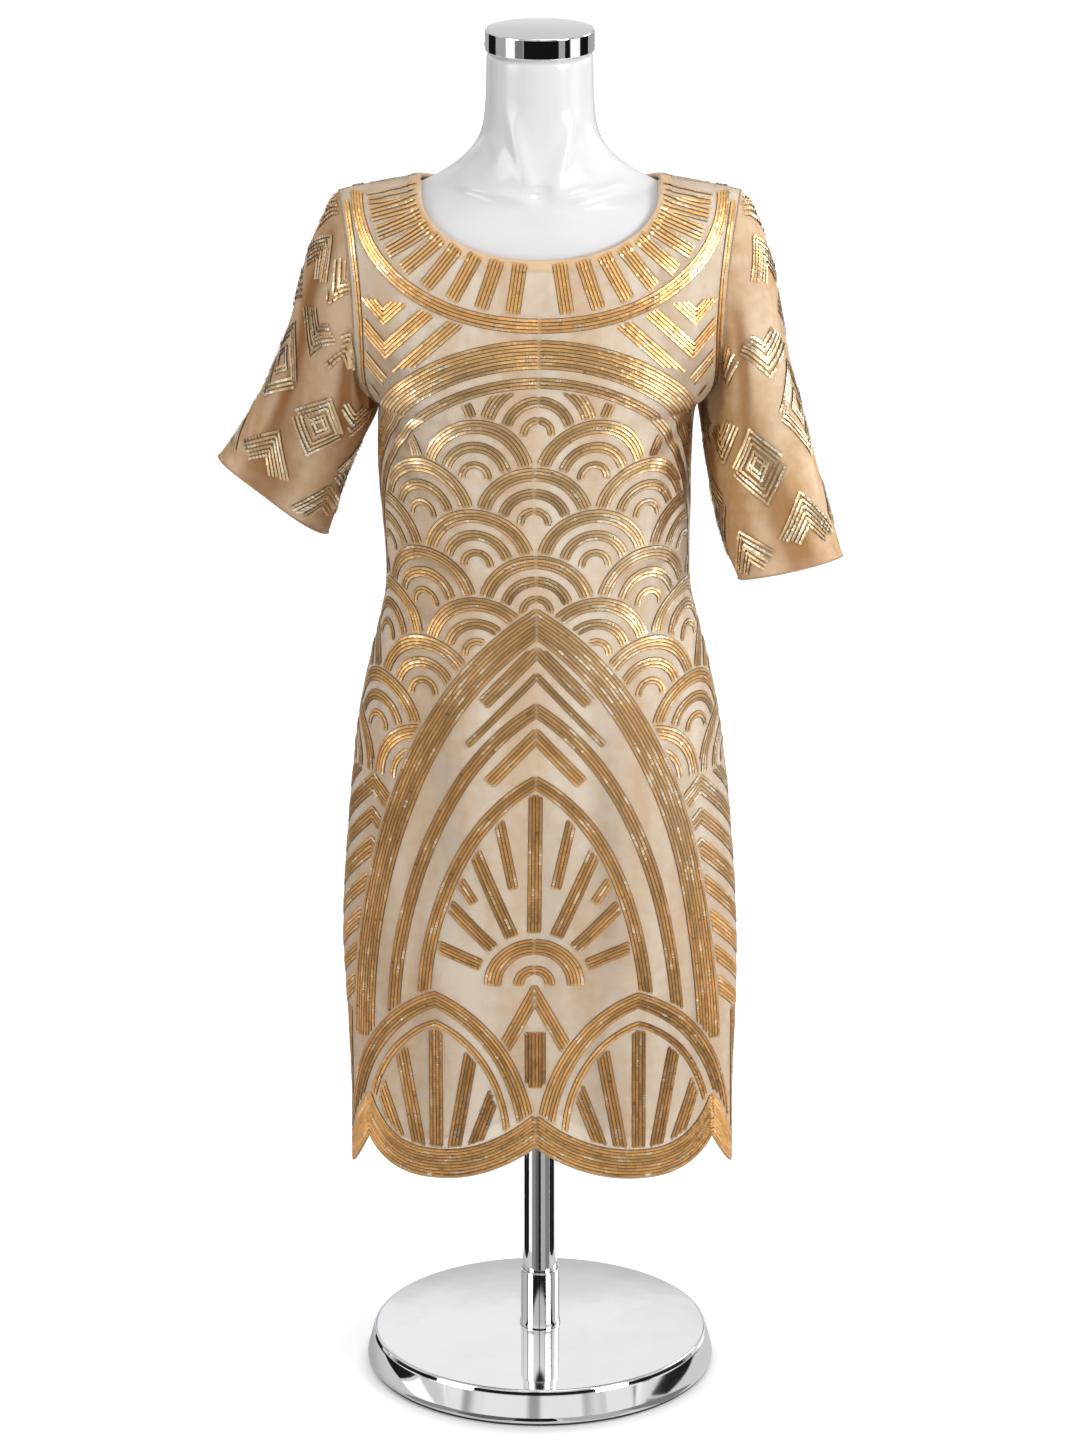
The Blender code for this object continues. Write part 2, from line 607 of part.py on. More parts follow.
def build_form():
    """Limbless form from ring sections: rounded underside, hips, waist, bust, shoulders, neck."""
    rows = np.array(FORM_SECTIONS, float)
    angle = 2 * math.pi * np.arange(FORM_COLUMNS) / FORM_COLUMNS
    rings = []
    for level, half, front, back, mid_y, power in rows:
        side = np.where(np.sin(angle) < 0, -1.0, 1.0)
        reach = np.where(side < 0, front + mid_y, back - mid_y)
        x = half * np.cos(angle)
        swell = np.clip(1 - np.abs(np.cos(angle)) ** SECTION_POWER, 0, 1) ** power
        rings.append(np.stack([x, mid_y + side * reach * swell, np.full(len(angle), level)], 1))
    rings = np.array(rings) * MM
    underside = rings[0] * FORM_UNDERSIDE_SHARE
    underside[:, 2] = FORM_UNDERSIDE_Z
    rings = np.concatenate([underside[None], rings])
    count = rings.shape[0] * FORM_COLUMNS
    index = np.arange(count).reshape(rings.shape[0], FORM_COLUMNS)
    right = np.roll(index, -1, axis=1)
    quads = np.stack([index[:-1], right[:-1], right[1:], index[1:]], -1).reshape(-1, 4)
    faces = [tuple(q) for q in quads] + [tuple(index[0, ::-1]), tuple(index[-1])]
    form = add_mesh("torso", rings.reshape(-1, 3), faces)
    paint([form], "form_white")


def rounded_profile(corners):
    """Profile points with each marked corner replaced by a short arc; corner: r, z, radius."""
    points = []
    for i, (r, z, radius) in enumerate(corners):
        here = np.array([r, z])
        if radius == 0:
            points.append(tuple(here))
            continue
        to_last = unit(np.array(corners[i - 1][:2]) - here)
        to_next = unit(np.array(corners[i + 1][:2]) - here)
        start, end = here + to_last * radius, here + to_next * radius
        for t in np.linspace(0, 1, EDGE_STEPS + 1):
            points.append(tuple((1 - t) ** 2 * start + 2 * t * (1 - t) * here + t * t * end))
    return points


def turned(name, corners, steps, material, ring=False):
    """Turned solid from a profile of radius and height, top to bottom, by a Screw modifier."""
    profile = rounded_profile(corners)
    edges = [(i, i + 1) for i in range(len(profile) - 1)]
    if ring:
        edges.append((len(profile) - 1, 0))
    mesh = bpy.data.meshes.new(name)
    mesh.from_pydata([(r, 0, z) for r, z in profile], edges, [])
    obj = bpy.data.objects.new(name, mesh)
    link(obj)
    screw = obj.modifiers.new("turn", "SCREW")
    screw.axis = "Z"
    screw.steps = steps
    screw.render_steps = steps
    screw.use_merge_vertices = True
    screw.merge_threshold = 0.00001
    screw.use_smooth_shade = True
    paint([obj], material)
    return obj


def build_stand():
    """Neck cap, pole with its top flange, pole socket and round base."""
    turned(
        "neck_cap",
        [(0, CAP_TOP_Z, 0), (CAP_RADIUS, CAP_TOP_Z, CAP_EDGE), (CAP_RADIUS, CAP_BOTTOM_Z, 0), (0, CAP_BOTTOM_Z, 0)],
        TURN_STEPS,
        "chrome",
    )
    flange_top = FORM_UNDERSIDE_Z - SEAM_GAP
    flange_bottom = flange_top - FLANGE_HEIGHT
    pole_foot = BASE_HEIGHT + SEAM_GAP
    turned(
        "pole",
        [
            (0, flange_top, 0),
            (FLANGE_RADIUS, flange_top, 0),
            (FLANGE_RADIUS, flange_bottom, 0),
            (POLE_RADIUS, flange_bottom, 0),
            (POLE_RADIUS, pole_foot, 0),
            (0, pole_foot, 0),
        ],
        TURN_STEPS,
        "chrome",
    )
    turned(
        "pole_socket",
        [
            (SOCKET_BORE, pole_foot + SOCKET_HEIGHT, 0),
            (SOCKET_RADIUS, pole_foot + SOCKET_HEIGHT, SOCKET_EDGE),
            (SOCKET_RADIUS, pole_foot, 0),
            (SOCKET_BORE, pole_foot, 0),
        ],
        TURN_STEPS,
        "chrome",
        ring=True,
    )
    turned(
        "base",
        [
            (0, BASE_HEIGHT, 0),
            (BASE_TOP_RADIUS, BASE_HEIGHT, BASE_EDGE),
            (BASE_BOTTOM_RADIUS, BASE_EDGE, BASE_EDGE),
            (BASE_BOTTOM_RADIUS - BASE_EDGE, 0, 0),
            (0, 0, 0),
        ],
        BASE_STEPS,
        "chrome",
    )


def make_materials():
    for name, (colour, roughness, metallic) in MATERIALS.items():
        material = bpy.data.materials.new(name)
        material.use_nodes = True
        shader = material.node_tree.nodes["Principled BSDF"]
        shader.inputs["Base Color"].default_value = (*colour, 1)
        shader.inputs["Roughness"].default_value = roughness
        shader.inputs["Metallic"].default_value = metallic


def paint(objects, material):
    for obj in objects:
        obj.data.materials.append(bpy.data.materials[material])


def main():
    for obj in list(bpy.data.objects):
        bpy.data.objects.remove(obj, do_unlink=True)
    collection = bpy.data.collections.new(OBJECT_NAME)
    bpy.context.scene.collection.children.link(collection)
    make_materials()
    build_body_and_sleeves()
    build_lining()
    build_neck_binding()
    build_form()
    build_stand()


main()
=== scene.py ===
"""Cocktail dress on a dress form: net, linings, sequin work, form and chromed stand.

Metres, +Z up.  The wearer faces -Y, the base underside is on z = 0 and its centre is the
origin.  Left and right are the wearer's, so the left sleeve is on +X.
"""

from __future__ import annotations

import itertools
import logging
import math
from collections.abc import Callable
from dataclasses import dataclass
from enum import Enum

import bpy
import numpy as np
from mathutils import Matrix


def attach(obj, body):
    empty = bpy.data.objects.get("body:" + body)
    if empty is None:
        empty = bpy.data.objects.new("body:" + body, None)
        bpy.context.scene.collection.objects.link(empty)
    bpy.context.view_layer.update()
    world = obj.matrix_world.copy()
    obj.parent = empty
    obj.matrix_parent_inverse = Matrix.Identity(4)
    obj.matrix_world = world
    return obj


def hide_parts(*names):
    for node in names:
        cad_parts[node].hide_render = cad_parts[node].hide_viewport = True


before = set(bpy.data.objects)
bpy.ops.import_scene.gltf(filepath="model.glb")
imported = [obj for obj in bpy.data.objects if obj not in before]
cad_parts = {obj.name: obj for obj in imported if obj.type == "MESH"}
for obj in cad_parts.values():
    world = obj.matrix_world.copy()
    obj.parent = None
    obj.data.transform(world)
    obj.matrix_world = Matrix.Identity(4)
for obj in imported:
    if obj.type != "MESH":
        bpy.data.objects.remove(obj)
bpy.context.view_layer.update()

Array = np.ndarray
Colour = tuple[float, float, float]
Thing = bpy.types.Object
Socket = bpy.types.NodeSocket
Material = bpy.types.Material
LOG = logging.getLogger("cocktail_dress")
MM = 0.001
SEED = 41
BODY = "root"
CORD_SIDES = 10
ROUNDING_STEPS = 6

# Outside of the body cloth in millimetres, one row per level.
# level, half width, front reach, back reach, seam y, end power, middle x
DRESS_SECTIONS = (
    (1120, 90, 44.0, 62.0, 5.0, 1.00, 0.0),
    (1116, 105, 46.0, 64.0, 5.0, 0.98, 0.0),
    (1113.5, 122, 48.0, 66.0, 5.5, 0.96, 0.0),
    (1110.5, 142, 50.5, 68.5, 6.0, 0.92, 0.0),
    (1107, 162, 53.0, 71.0, 6.0, 0.87, 0.0),
    (1104, 175, 55.5, 73.5, 6.0, 0.83, 0.0),
    (1095, 181, 62.5, 82.0, 6.0, 0.74, 0.0),
    (1083, 185, 70.0, 88.5, 5.5, 0.66, 0.0),
    (1067, 187.5, 77.5, 94.0, 5.0, 0.58, 0.0),
    (1050, 187, 83.5, 97.0, 4.0, 0.53, 0.0),
    (1032, 184.5, 88.5, 99.0, 3.0, 0.50, 0.0),
    (1011, 181, 93.5, 100.0, 2.0, 0.48, -0.3),
    (976, 174, 101.0, 99.0, 0.0, 0.48, -0.8),
    (957, 168, 105.0, 97.5, -1.0, 0.48, -1.0),
    (938, 160.5, 108.0, 96.0, -1.5, 0.48, -1.2),
    (925, 150, 109.5, 95.0, -2.0, 0.48, -1.5),
    (919, 140, 110.0, 94.5, -2.0, 0.48, -1.8),
    (898, 138.5, 111.5, 93.5, -2.0, 0.48, -3.8),
    (861, 137.4, 108.0, 92.0, -2.0, 0.48, -4.6),
    (824, 136.2, 103.0, 92.5, -1.5, 0.48, -3.6),
    (787, 134.4, 100.0, 95.0, -1.0, 0.48, -2.2),
    (769, 134.0, 99.0, 96.0, -0.5, 0.48, -1.8),
    (750, 134.4, 98.7, 97.0, 0.0, 0.48, -1.6),
    (713, 141.6, 98.2, 99.5, 1.0, 0.48, -1.0),
    (676, 150.8, 97.5, 102.5, 2.5, 0.48, -0.9),
    (638, 158.3, 96.3, 105.0, 4.0, 0.48, -0.9),
    (601, 164.0, 94.5, 107.0, 5.5, 0.48, -0.8),
    (563, 168.0, 92.8, 108.0, 6.5, 0.48, -0.4),
    (525, 171.4, 91.0, 105.5, 6.5, 0.48, -0.4),
    (448, 176.6, 88.0, 96.0, 4.0, 0.48, -0.4),
    (410, 177.6, 84.0, 88.5, 2.5, 0.48, 0.0),
    (371, 176.6, 78.5, 80.0, 1.0, 0.48, 0.9),
    (332, 175.4, 72.0, 71.5, 0.0, 0.48, 1.6),
    (293, 173.6, 66.0, 63.5, -1.0, 0.48, 1.6),
    (254, 172.9, 61.0, 57.5, -2.0, 0.48, 1.8),
    (224, 173.1, 58.5, 55.0, -2.0, 0.48, 1.8),
    (190, 173.2, 57.0, 53.5, -2.0, 0.48, 1.8),
)
# Armhole edge of the body panels in millimetres: level, distance from the centre.
ARMHOLE = (
    (1104, 175.0), (1095, 173.0), (1083, 170.7), (1067, 167.8), (1050, 165.6), (1032, 163.6),
    (1011, 162.0), (976, 160.4), (957, 159.8), (944, 158.3), (935, 155.5), (927, 150.0),
    (922, 144.5), (919, 139.5),
)
PANEL_LEVELS = (919, 892, 866, 838, 810, 789, 769, 748, 722, 690, 650, 605, 560, 510, 455, 395, 335)
LINING_LEVELS = (919, 880, 838, 800, 769, 735, 690, 625, 540, 455, 370, 316, 282)
HEM_SHARES = (0.36, 0.7, 1.0)
SCALLOP_BREAKS_DEG = (-90, -64, 0, 64, 90)
SCALLOP_CELLS = (3, 9, 9, 3)

# Form in millimetres: level, half width, front reach, back reach, middle y, end power
FORM_SECTIONS = (
    (404, 150, 62.0, 68.0, 4.0, 0.48),
    (412, 158, 69.0, 76.0, 4.0, 0.48),
    (430, 163, 74.5, 82.5, 5.0, 0.48),
    (460, 167, 78.0, 88.5, 5.5, 0.48),
    (510, 166.5, 81.5, 95.5, 6.0, 0.48),
    (560, 163, 84.5, 100.5, 6.0, 0.48),
    (610, 155, 85.5, 101.0, 5.5, 0.48),
    (660, 143, 84.5, 97.0, 4.5, 0.48),
    (705, 129, 82.0, 90.0, 2.5, 0.48),
    (745, 119, 80.0, 84.0, 0.5, 0.48),
    (775, 117, 80.5, 81.0, -0.5, 0.48),
    (810, 120, 86.0, 81.5, -1.0, 0.48),
    (850, 123.5, 97.0, 84.0, -2.0, 0.48),
    (885, 126, 104.0, 86.5, -2.0, 0.48),
    (910, 129, 104.5, 88.0, -2.0, 0.48),
    (940, 137, 101.5, 90.0, -1.5, 0.48),
    (975, 149, 95.5, 93.0, 0.0, 0.47),
    (1010, 156.5, 88.0, 94.0, 2.0, 0.47),
    (1040, 159.5, 80.5, 92.0, 4.0, 0.49),
    (1063, 160, 73.5, 88.0, 5.0, 0.53),
    (1080, 157.5, 67.5, 81.5, 5.5, 0.60),
    (1091, 151, 63.5, 76.5, 6.0, 0.70),
    (1099, 139, 61.0, 74.0, 6.0, 0.78),
    (1105, 123, 59.3, 72.3, 5.5, 0.84),
    (1110, 107, 57.7, 70.9, 5.0, 0.86),
    (1116, 95, 56.0, 69.0, 4.5, 0.83),
    (1122, 84, 54.5, 66.8, 4.0, 0.77),
    (1130, 72.5, 53.0, 63.5, 3.5, 0.69),
    (1140, 61.5, 51.0, 59.5, 2.5, 0.60),
    (1152, 53.5, 49.5, 55.5, 1.5, 0.54),
    (1166, 49.2, 48.5, 52.0, 1.0, 0.50),
    (1190, 47.0, 47.0, 49.0, 0.5, 0.50),
    (1224, 46.0, 46.0, 46.0, 0.0, 0.50),
    (1227.7, 43.0, 43.0, 43.0, 0.0, 0.50),
)

# Sleeve rings in millimetres, armhole to cuff: outer x, outer z, inner x, inner z, middle y,
# half depth, front drop.
SLEEVE_RIGHT_RINGS = (
    (175.0, 1104.0, 139.5, 919.0, 3.0, 42.0, 0.0),
    (182.5, 1094.0, 140.5, 911.5, 5.0, 45.0, 0.0),
    (191.0, 1076.0, 143.0, 904.0, 8.0, 48.0, 0.0),
    (202.0, 1052.0, 147.5, 893.5, 13.0, 50.0, 0.0),
    (210.0, 1022.0, 153.0, 881.0, 20.0, 50.5, -0.5),
    (219.0, 985.0, 159.0, 866.0, 29.0, 50.5, -1.5),
    (231.0, 949.0, 166.0, 848.5, 40.0, 50.0, -2.5),
    (246.0, 914.0, 173.0, 826.5, 52.0, 49.5, -3.5),
    (264.0, 877.0, 180.5, 800.0, 66.0, 49.0, -4.5),
    (287.0, 842.5, 189.5, 771.0, 80.0, 48.5, -5.5),
)
SLEEVE_LEFT_RINGS = (
    (175.0, 1104.0, 139.5, 919.0, 2.0, 42.0, 0.0),
    (183.5, 1093.0, 141.0, 909.0, 1.0, 45.0, 0.0),
    (194.0, 1070.0, 142.5, 896.0, -1.0, 47.5, -0.5),
    (203.5, 1040.0, 144.0, 881.0, -5.0, 49.0, -1.0),
    (210.0, 1003.0, 146.0, 864.0, -11.0, 49.5, -2.0),
    (218.0, 963.0, 149.0, 845.0, -19.0, 49.5, -3.5),
    (228.0, 921.0, 153.5, 824.0, -29.0, 49.0, -5.0),
    (240.0, 877.0, 159.0, 802.0, -40.0, 48.5, -6.5),
    (252.0, 834.0, 166.0, 786.0, -51.0, 48.0, -8.0),
    (264.0, 792.0, 173.0, 771.0, -62.0, 47.5, -9.5),
)


class Side(Enum):
    """Front or back of the dress; the value is the sign of y."""

    FRONT = -1
    BACK = 1

    @property
    def word(self) -> str:
        """The side's name in lower case."""
        return self.name.lower()


class Hand(Enum):
    """The wearer's left or right; the value is the sign of x."""

    LEFT = 1
    RIGHT = -1

    @property
    def word(self) -> str:
        """The hand's name in lower case."""
        return self.name.lower()


# ---------------------------------------------------------------------------- shared maths


def smooth_table(levels: Array, values: Array, at: Array) -> Array:
    """Monotone cubic through a table with rising levels, so a curve never swings past its rows.

    Args:
        levels: rising levels of the rows.
        values: one value for each row.
        at: levels that are asked for.

    Returns:
        The value at each level asked for.
    """
    steps = np.diff(levels)
    slopes = np.diff(values) / steps
    weight_a, weight_b = 2 * steps[1:] + steps[:-1], steps[1:] + 2 * steps[:-1]
    same_way = slopes[:-1] * slopes[1:] > 0
    before, after = np.where(same_way, (slopes[:-1], slopes[1:]), 1.0)
    harmonic = (weight_a + weight_b) / (weight_a / before + weight_b / after)
    tangents = np.concatenate([slopes[:1], np.where(same_way, harmonic, 0.0), slopes[-1:]])
    at = np.clip(at, levels[0], levels[-1])
    row = np.clip(np.searchsorted(levels, at) - 1, 0, len(levels) - 2)
    t = (at - levels[row]) / steps[row]
    rise = fade(t)
    bend = tangents[row] * t * (1 - t) ** 2 - tangents[row + 1] * t * t * (1 - t)
    return values[row] * (1 - rise) + values[row + 1] * rise + bend * steps[row]


def finer_table(rows: Array, between: int) -> Array:
    """A table with rows added between its own ones, each column on a smooth curve.

    Args:
        rows: one row of values for each level.
        between: steps from each row to the next.

    Returns:
        The table with its new rows.
    """
    numbers = np.arange(len(rows), dtype=float)
    at = finer_steps(numbers, between)
    return np.stack([smooth_table(numbers, column, at) for column in rows.T], axis=1)


def unit(vectors: Array) -> Array:
    """Vectors scaled to length one."""
    return vectors / np.maximum(np.linalg.norm(vectors, axis=-1, keepdims=True), 1e-12)


def grid_normals(grid: Array, around: bool = False) -> Array:
    """Unit normals of a grid: the cross product of its steps down the rows and across them.

    Args:
        grid: points, rows down and columns across.
        around: True where the last column joins the first.

    Returns:
        One unit normal for each point.
    """
    down = np.gradient(grid, axis=0)
    if around:
        across = (np.roll(grid, -1, axis=1) - np.roll(grid, 1, axis=1)) / 2
    else:
        across = np.gradient(grid, axis=1)
    return unit(np.cross(down, across))


def finer_steps(values: Array | tuple, finer: int) -> Array:
    """A list with the given number of even steps between its neighbours."""
    at = np.arange((len(values) - 1) * finer + 1) / finer
    return np.interp(at, np.arange(len(values)), values)


def crowded(cells: int, power: float) -> Array:
    """Shares from 0 to 1 that crowd towards 1: one less the rest raised to a power."""
    return 1 - (1 - np.arange(cells + 1) / cells) ** power


def sample_grid(grid: Array, row: Array, column: Array) -> Array:
    """Values of a grid between its points, by weighting the four round each place.

    Args:
        grid: values with rows down and columns across.
        row: row number of each place, which may lie between two rows.
        column: column number of each place.

    Returns:
        The value at each place.
    """
    row = np.clip(row, 0, grid.shape[0] - 1 - 1e-9)
    column = np.clip(column, 0, grid.shape[1] - 1 - 1e-9)
    i, j = row.astype(int), column.astype(int)
    a, b = row - i, column - j
    if grid.ndim == 3:
        a, b = a[..., None], b[..., None]
    upper = grid[i, j] * (1 - b) + grid[i, j + 1] * b
    lower = grid[i + 1, j] * (1 - b) + grid[i + 1, j + 1] * b
    return upper * (1 - a) + lower * a


def fade(t: Array) -> Array:
    """Smooth step from 0 to 1 while t goes from 0 to 1."""
    t = np.clip(t, 0, 1)
    return t * t * (3 - 2 * t)


def beside(path: Array, distance: float) -> Array:
    """A path carried sideways by a distance, with mitred corners.

    Each point moves along the sum of its two edge normals, divided by one plus their product,
    so that every edge ends up at the same distance.

    Args:
        path: points with two coordinates.
        distance: how far to the left of its direction the path moves.

    Returns:
        The moved points.
    """
    steps = unit(np.diff(path, axis=0))
    normals = np.stack([-steps[:, 1], steps[:, 0]], axis=1)
    before = np.concatenate([normals[:1], normals])
    after = np.concatenate([normals, normals[-1:]])
    turn = np.maximum(1 + (before * after).sum(axis=1, keepdims=True), 0.25)
    return path + distance * (before + after) / turn


def along(grid: Array, axis: int = 0) -> Array:
    """Distance travelled to each point of a path, or of a grid down or across it."""
    steps = np.linalg.norm(np.diff(grid, axis=axis), axis=-1)
    return np.concatenate([0 * steps.take([0], axis), np.cumsum(steps, axis=axis)], axis=axis)


def at_distance(at: Array, travelled: Array, path: Array) -> Array:
    """Values of a path at distances along it."""
    return np.stack([np.interp(at, travelled, column) for column in path.T], axis=-1)


def even_steps(path: Array, step: float) -> Array:
    """The path's points again, at even steps close to the one given.

    Args:
        path: points of any number of coordinates.
        step: distance asked for between neighbours.

    Returns:
        The new points, with both ends kept.
    """
    travelled = along(path)
    count = max(int(round(travelled[-1] / step)), 1)
    return at_distance(np.linspace(0, travelled[-1], count + 1), travelled, path)


def stretches(good: Array) -> list[slice]:
    """Where a row of yes and no says yes without a gap."""
    edges = np.flatnonzero(np.diff(np.concatenate([[0], good.astype(int), [0]])))
    return [slice(a, b) for a, b in zip(edges[::2], edges[1::2])]


# ------------------------------------------------------------------------------ mesh making


def put_mesh(
    name: str,
    points: Array,
    faces: list[Array],
    material: Material,
    node: str | None = None,
    flat: Array | None = None,
    tone: Array | None = None,
    smooth: bool = True,
) -> Thing:
    """Mesh object from whole arrays, riding on the model's one body.

    Args:
        name: the piece's name.
        points: vertex places in metres.
        faces: arrays of vertex numbers, one array for each number of sides.
        material: the finish.
        node: the node that the piece replaces.
        flat: place of each vertex on the flat cloth, in metres, kept as a UV map.
        tone: colour and a fourth value for each vertex, kept as an attribute; on cloth it holds
            painted shade, on sequins their colour with painted glints and highlights.
        smooth: shade smoothly, with edges over 40 degrees left sharp.

    Returns:
        The new object.
    """
    mesh = bpy.data.meshes.new(name)
    corners = np.concatenate([f.reshape(-1) for f in faces]).astype(np.int32)
    sides = np.concatenate([np.full(len(f), f.shape[1]) for f in faces])
    mesh.vertices.add(len(points))
    mesh.vertices.foreach_set("co", np.ravel(points).astype(np.float32))
    mesh.loops.add(len(corners))
    mesh.loops.foreach_set("vertex_index", corners)
    mesh.polygons.add(len(sides))
    mesh.polygons.foreach_set("loop_start", (np.cumsum(sides) - sides).astype(np.int32))
    if flat is not None:
        layer = mesh.uv_layers.new(name="flat")
        layer.data.foreach_set("uv", np.ravel(flat[corners]).astype(np.float32))
    if tone is not None:
        attribute = mesh.attributes.new("tone", "FLOAT_COLOR", "POINT")
        attribute.data.foreach_set("color", np.ravel(tone).astype(np.float32))
    mesh.update(calc_edges=True)
    mesh.validate()
    if smooth:
        mesh.shade_smooth()
        mesh.set_sharp_from_angle(angle=math.radians(40))
    else:
        mesh.shade_flat()
    mesh.materials.append(material)
    obj = bpy.data.objects.new(name, mesh)
    bpy.context.scene.collection.objects.link(obj)
    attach(obj, BODY)
    if node:
        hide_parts(node)
    LOG.info("%s: %d faces", name, len(sides))
    return obj


def grid_quads(rows: int, columns: int, around: bool, start: int = 0) -> Array:
    """Four-sided cells of a grid, rows down and columns across; around joins the last column.

    Args:
        rows: number of rows.
        columns: number of columns.
        around: True where the last column joins the first.
        start: number of the grid's first vertex.

    Returns:
        Four vertex numbers for each cell.
    """
    index = np.arange(rows * columns).reshape(rows, columns) + start
    spans = columns if around else columns - 1
    right = np.roll(index, -1, axis=1)
    cells = [index[:-1, :spans], right[:-1, :spans], right[1:, :spans], index[1:, :spans]]
    return np.stack(cells, axis=-1).reshape(-1, 4)


def flipped(faces: list[Array]) -> list[Array]:
    """The same faces, pointing the other way."""
    return [f[:, ::-1] for f in faces]


class TubeEnds(Enum):
    """How a tube of rings ends."""

    LOOP = "the last ring joins the first"
    CAPS = "one flat face on each end"
    TIPS = "a fan to each of two points that follow the rings"


def tube_faces(rows: int, columns: int, ends: TubeEnds) -> list[Array]:
    """Faces of a tube of rings, one array for each number of sides.

    Args:
        rows: number of rings.
        columns: points in each ring.
        ends: how the tube ends.

    Returns:
        The faces, one array for each number of sides.
    """
    quads = grid_quads(rows, columns, True)
    first = np.arange(columns)
    last = first + (rows - 1) * columns
    first_next, last_next = np.roll(first, -1), np.roll(last, -1)
    if ends is TubeEnds.LOOP:
        joined = np.stack([last, last_next, first_next, first], axis=1)
        return [np.concatenate([quads, joined])]
    if ends is TubeEnds.CAPS:
        return [quads, np.stack([first[::-1], last])]
    tip = np.full(columns, rows * columns)
    fans = np.stack([[first_next, first, tip], [last, last_next, tip + 1]])
    return [quads, fans.transpose(0, 2, 1).reshape(-1, 3)]


@dataclass(frozen=True)
class Cloth:
    """A sheet's grid and outward normals; around is True where the grid is a tube."""

    grid: Array
    normals: Array
    around: bool = False

    def flat(self) -> Array:
        """Place of each point on the flat cloth: lengths along its row and down its column.

        Returns:
            Two lengths in metres for each point of the grid.
        """
        u = along(self.grid, 1)
        if not self.around:
            u = u - u[:, [self.grid.shape[1] // 2]]
        return np.stack([u, -along(self.grid)], axis=2)

    def wall(
        self, name: str, node: str, slot: str, material: Material, thickness: float,
        shade: Array, depth: float = 0.0,
    ) -> Thing:
        """Closed thin cloth: the grid less depth along its normals, an inner skin, and rims.

        Args:
            name: the piece's name.
            node: the node that it replaces.
            slot: not used.
            material: the finish.
            thickness: distance between the two skins.
            shade: depth of shade of each grid point, from 0 to 1.
            depth: how far the outer skin lies under the grid.

        Returns:
            The new object.
        """
        grid, normals, around = self.grid, self.normals, self.around
        rows, columns = grid.shape[:2]
        count = rows * columns
        cells = grid_quads(rows, columns, around)
        index = np.arange(count).reshape(rows, columns)
        spans = columns if around else columns - 1
        right = np.roll(index, -1, axis=1)
        edges = [(index[0, :spans], right[0, :spans]), (right[-1, :spans], index[-1, :spans])]
        if not around:
            edges += [(index[1:, 0], index[:-1, 0]), (index[:-1, -1], index[1:, -1])]
        rims = [np.stack([p, q, q + count, p + count], axis=1) for p, q in edges]
        faces = [np.concatenate([cells[:, ::-1], cells + count, *rims])]
        if (grid_normals(grid, around) * normals).sum() < 0:
            faces = flipped(faces)
        points = np.stack([grid - normals * depth, grid - normals * (depth + thickness)])
        tone = np.repeat(np.tile(shade.reshape(-1), 2)[:, None], 4, axis=1)
        flat = np.tile(self.flat().reshape(-1, 2), (2, 1))
        return put_mesh(name, points.reshape(-1, 3), faces, material, node, flat, tone)


def swept(
    name: str, path: Array, up: Array, size: tuple[float, float], closed: bool,
    material: Material, slot: str,
) -> Thing:
    """An oval cord carried along a path.

    Each ring is its point of the path, plus half the width times the cosine of the angle
    sideways, plus half the height times the sine upwards.

    Args:
        name: the piece's name.
        path: points of the path.
        up: direction away from the cloth at each point.
        size: width and height of the cord.
        closed: True where the path is a loop; otherwise both ends get caps.
        material: the finish.
        slot: not used.

    Returns:
        The new object.
    """
    angle = 2 * math.pi * np.arange(CORD_SIDES) / CORD_SIDES
    section = np.stack([size[0] / 2 * np.cos(angle), size[1] / 2 * np.sin(angle)], axis=1)
    if closed:
        tangent = unit(np.roll(path, -1, axis=0) - np.roll(path, 1, axis=0))
    else:
        tangent = unit(np.gradient(path, axis=0))
    up = unit(up - tangent * (up * tangent).sum(axis=1, keepdims=True))
    side = np.cross(tangent, up)
    rings = path[:, None] + section[:, :1] * side[:, None] + section[:, 1:] * up[:, None]
    ends = TubeEnds.LOOP if closed else TubeEnds.CAPS
    faces = flipped(tube_faces(*rings.shape[:2], ends))
    girth = along(np.concatenate([section, section[:1]]))[:-1]
    flat = np.stack(np.meshgrid(girth, along(path)), axis=2).reshape(-1, 2)
    return put_mesh(name, rings.reshape(-1, 3), faces, material, flat=flat)


def spun(profile: Array, steps: int, ring: bool = False) -> tuple[Array, list[Array]]:
    """Points and faces of a profile of radius and height spun round the axis, from the top.

    Args:
        profile: radius and height of each point; it starts and ends on the axis unless ring.
        steps: how many times the profile is repeated round the axis.
        ring: True for a closed profile that stays clear of the axis.

    Returns:
        The points and the faces.
    """
    angle = 2 * math.pi * np.arange(steps) / steps
    body = profile if ring else profile[1:-1]
    radius, height = body[:, :1], np.repeat(body[:, 1:], steps, axis=1)
    points = np.stack([radius * np.cos(angle), radius * np.sin(angle), height], axis=2)
    points = points.reshape(-1, 3)
    if not ring:
        points = np.concatenate([points, [[0, 0, profile[0, 1]], [0, 0, profile[-1, 1]]]])
    ends = TubeEnds.LOOP if ring else TubeEnds.TIPS
    return points, flipped(tube_faces(len(body), steps, ends))


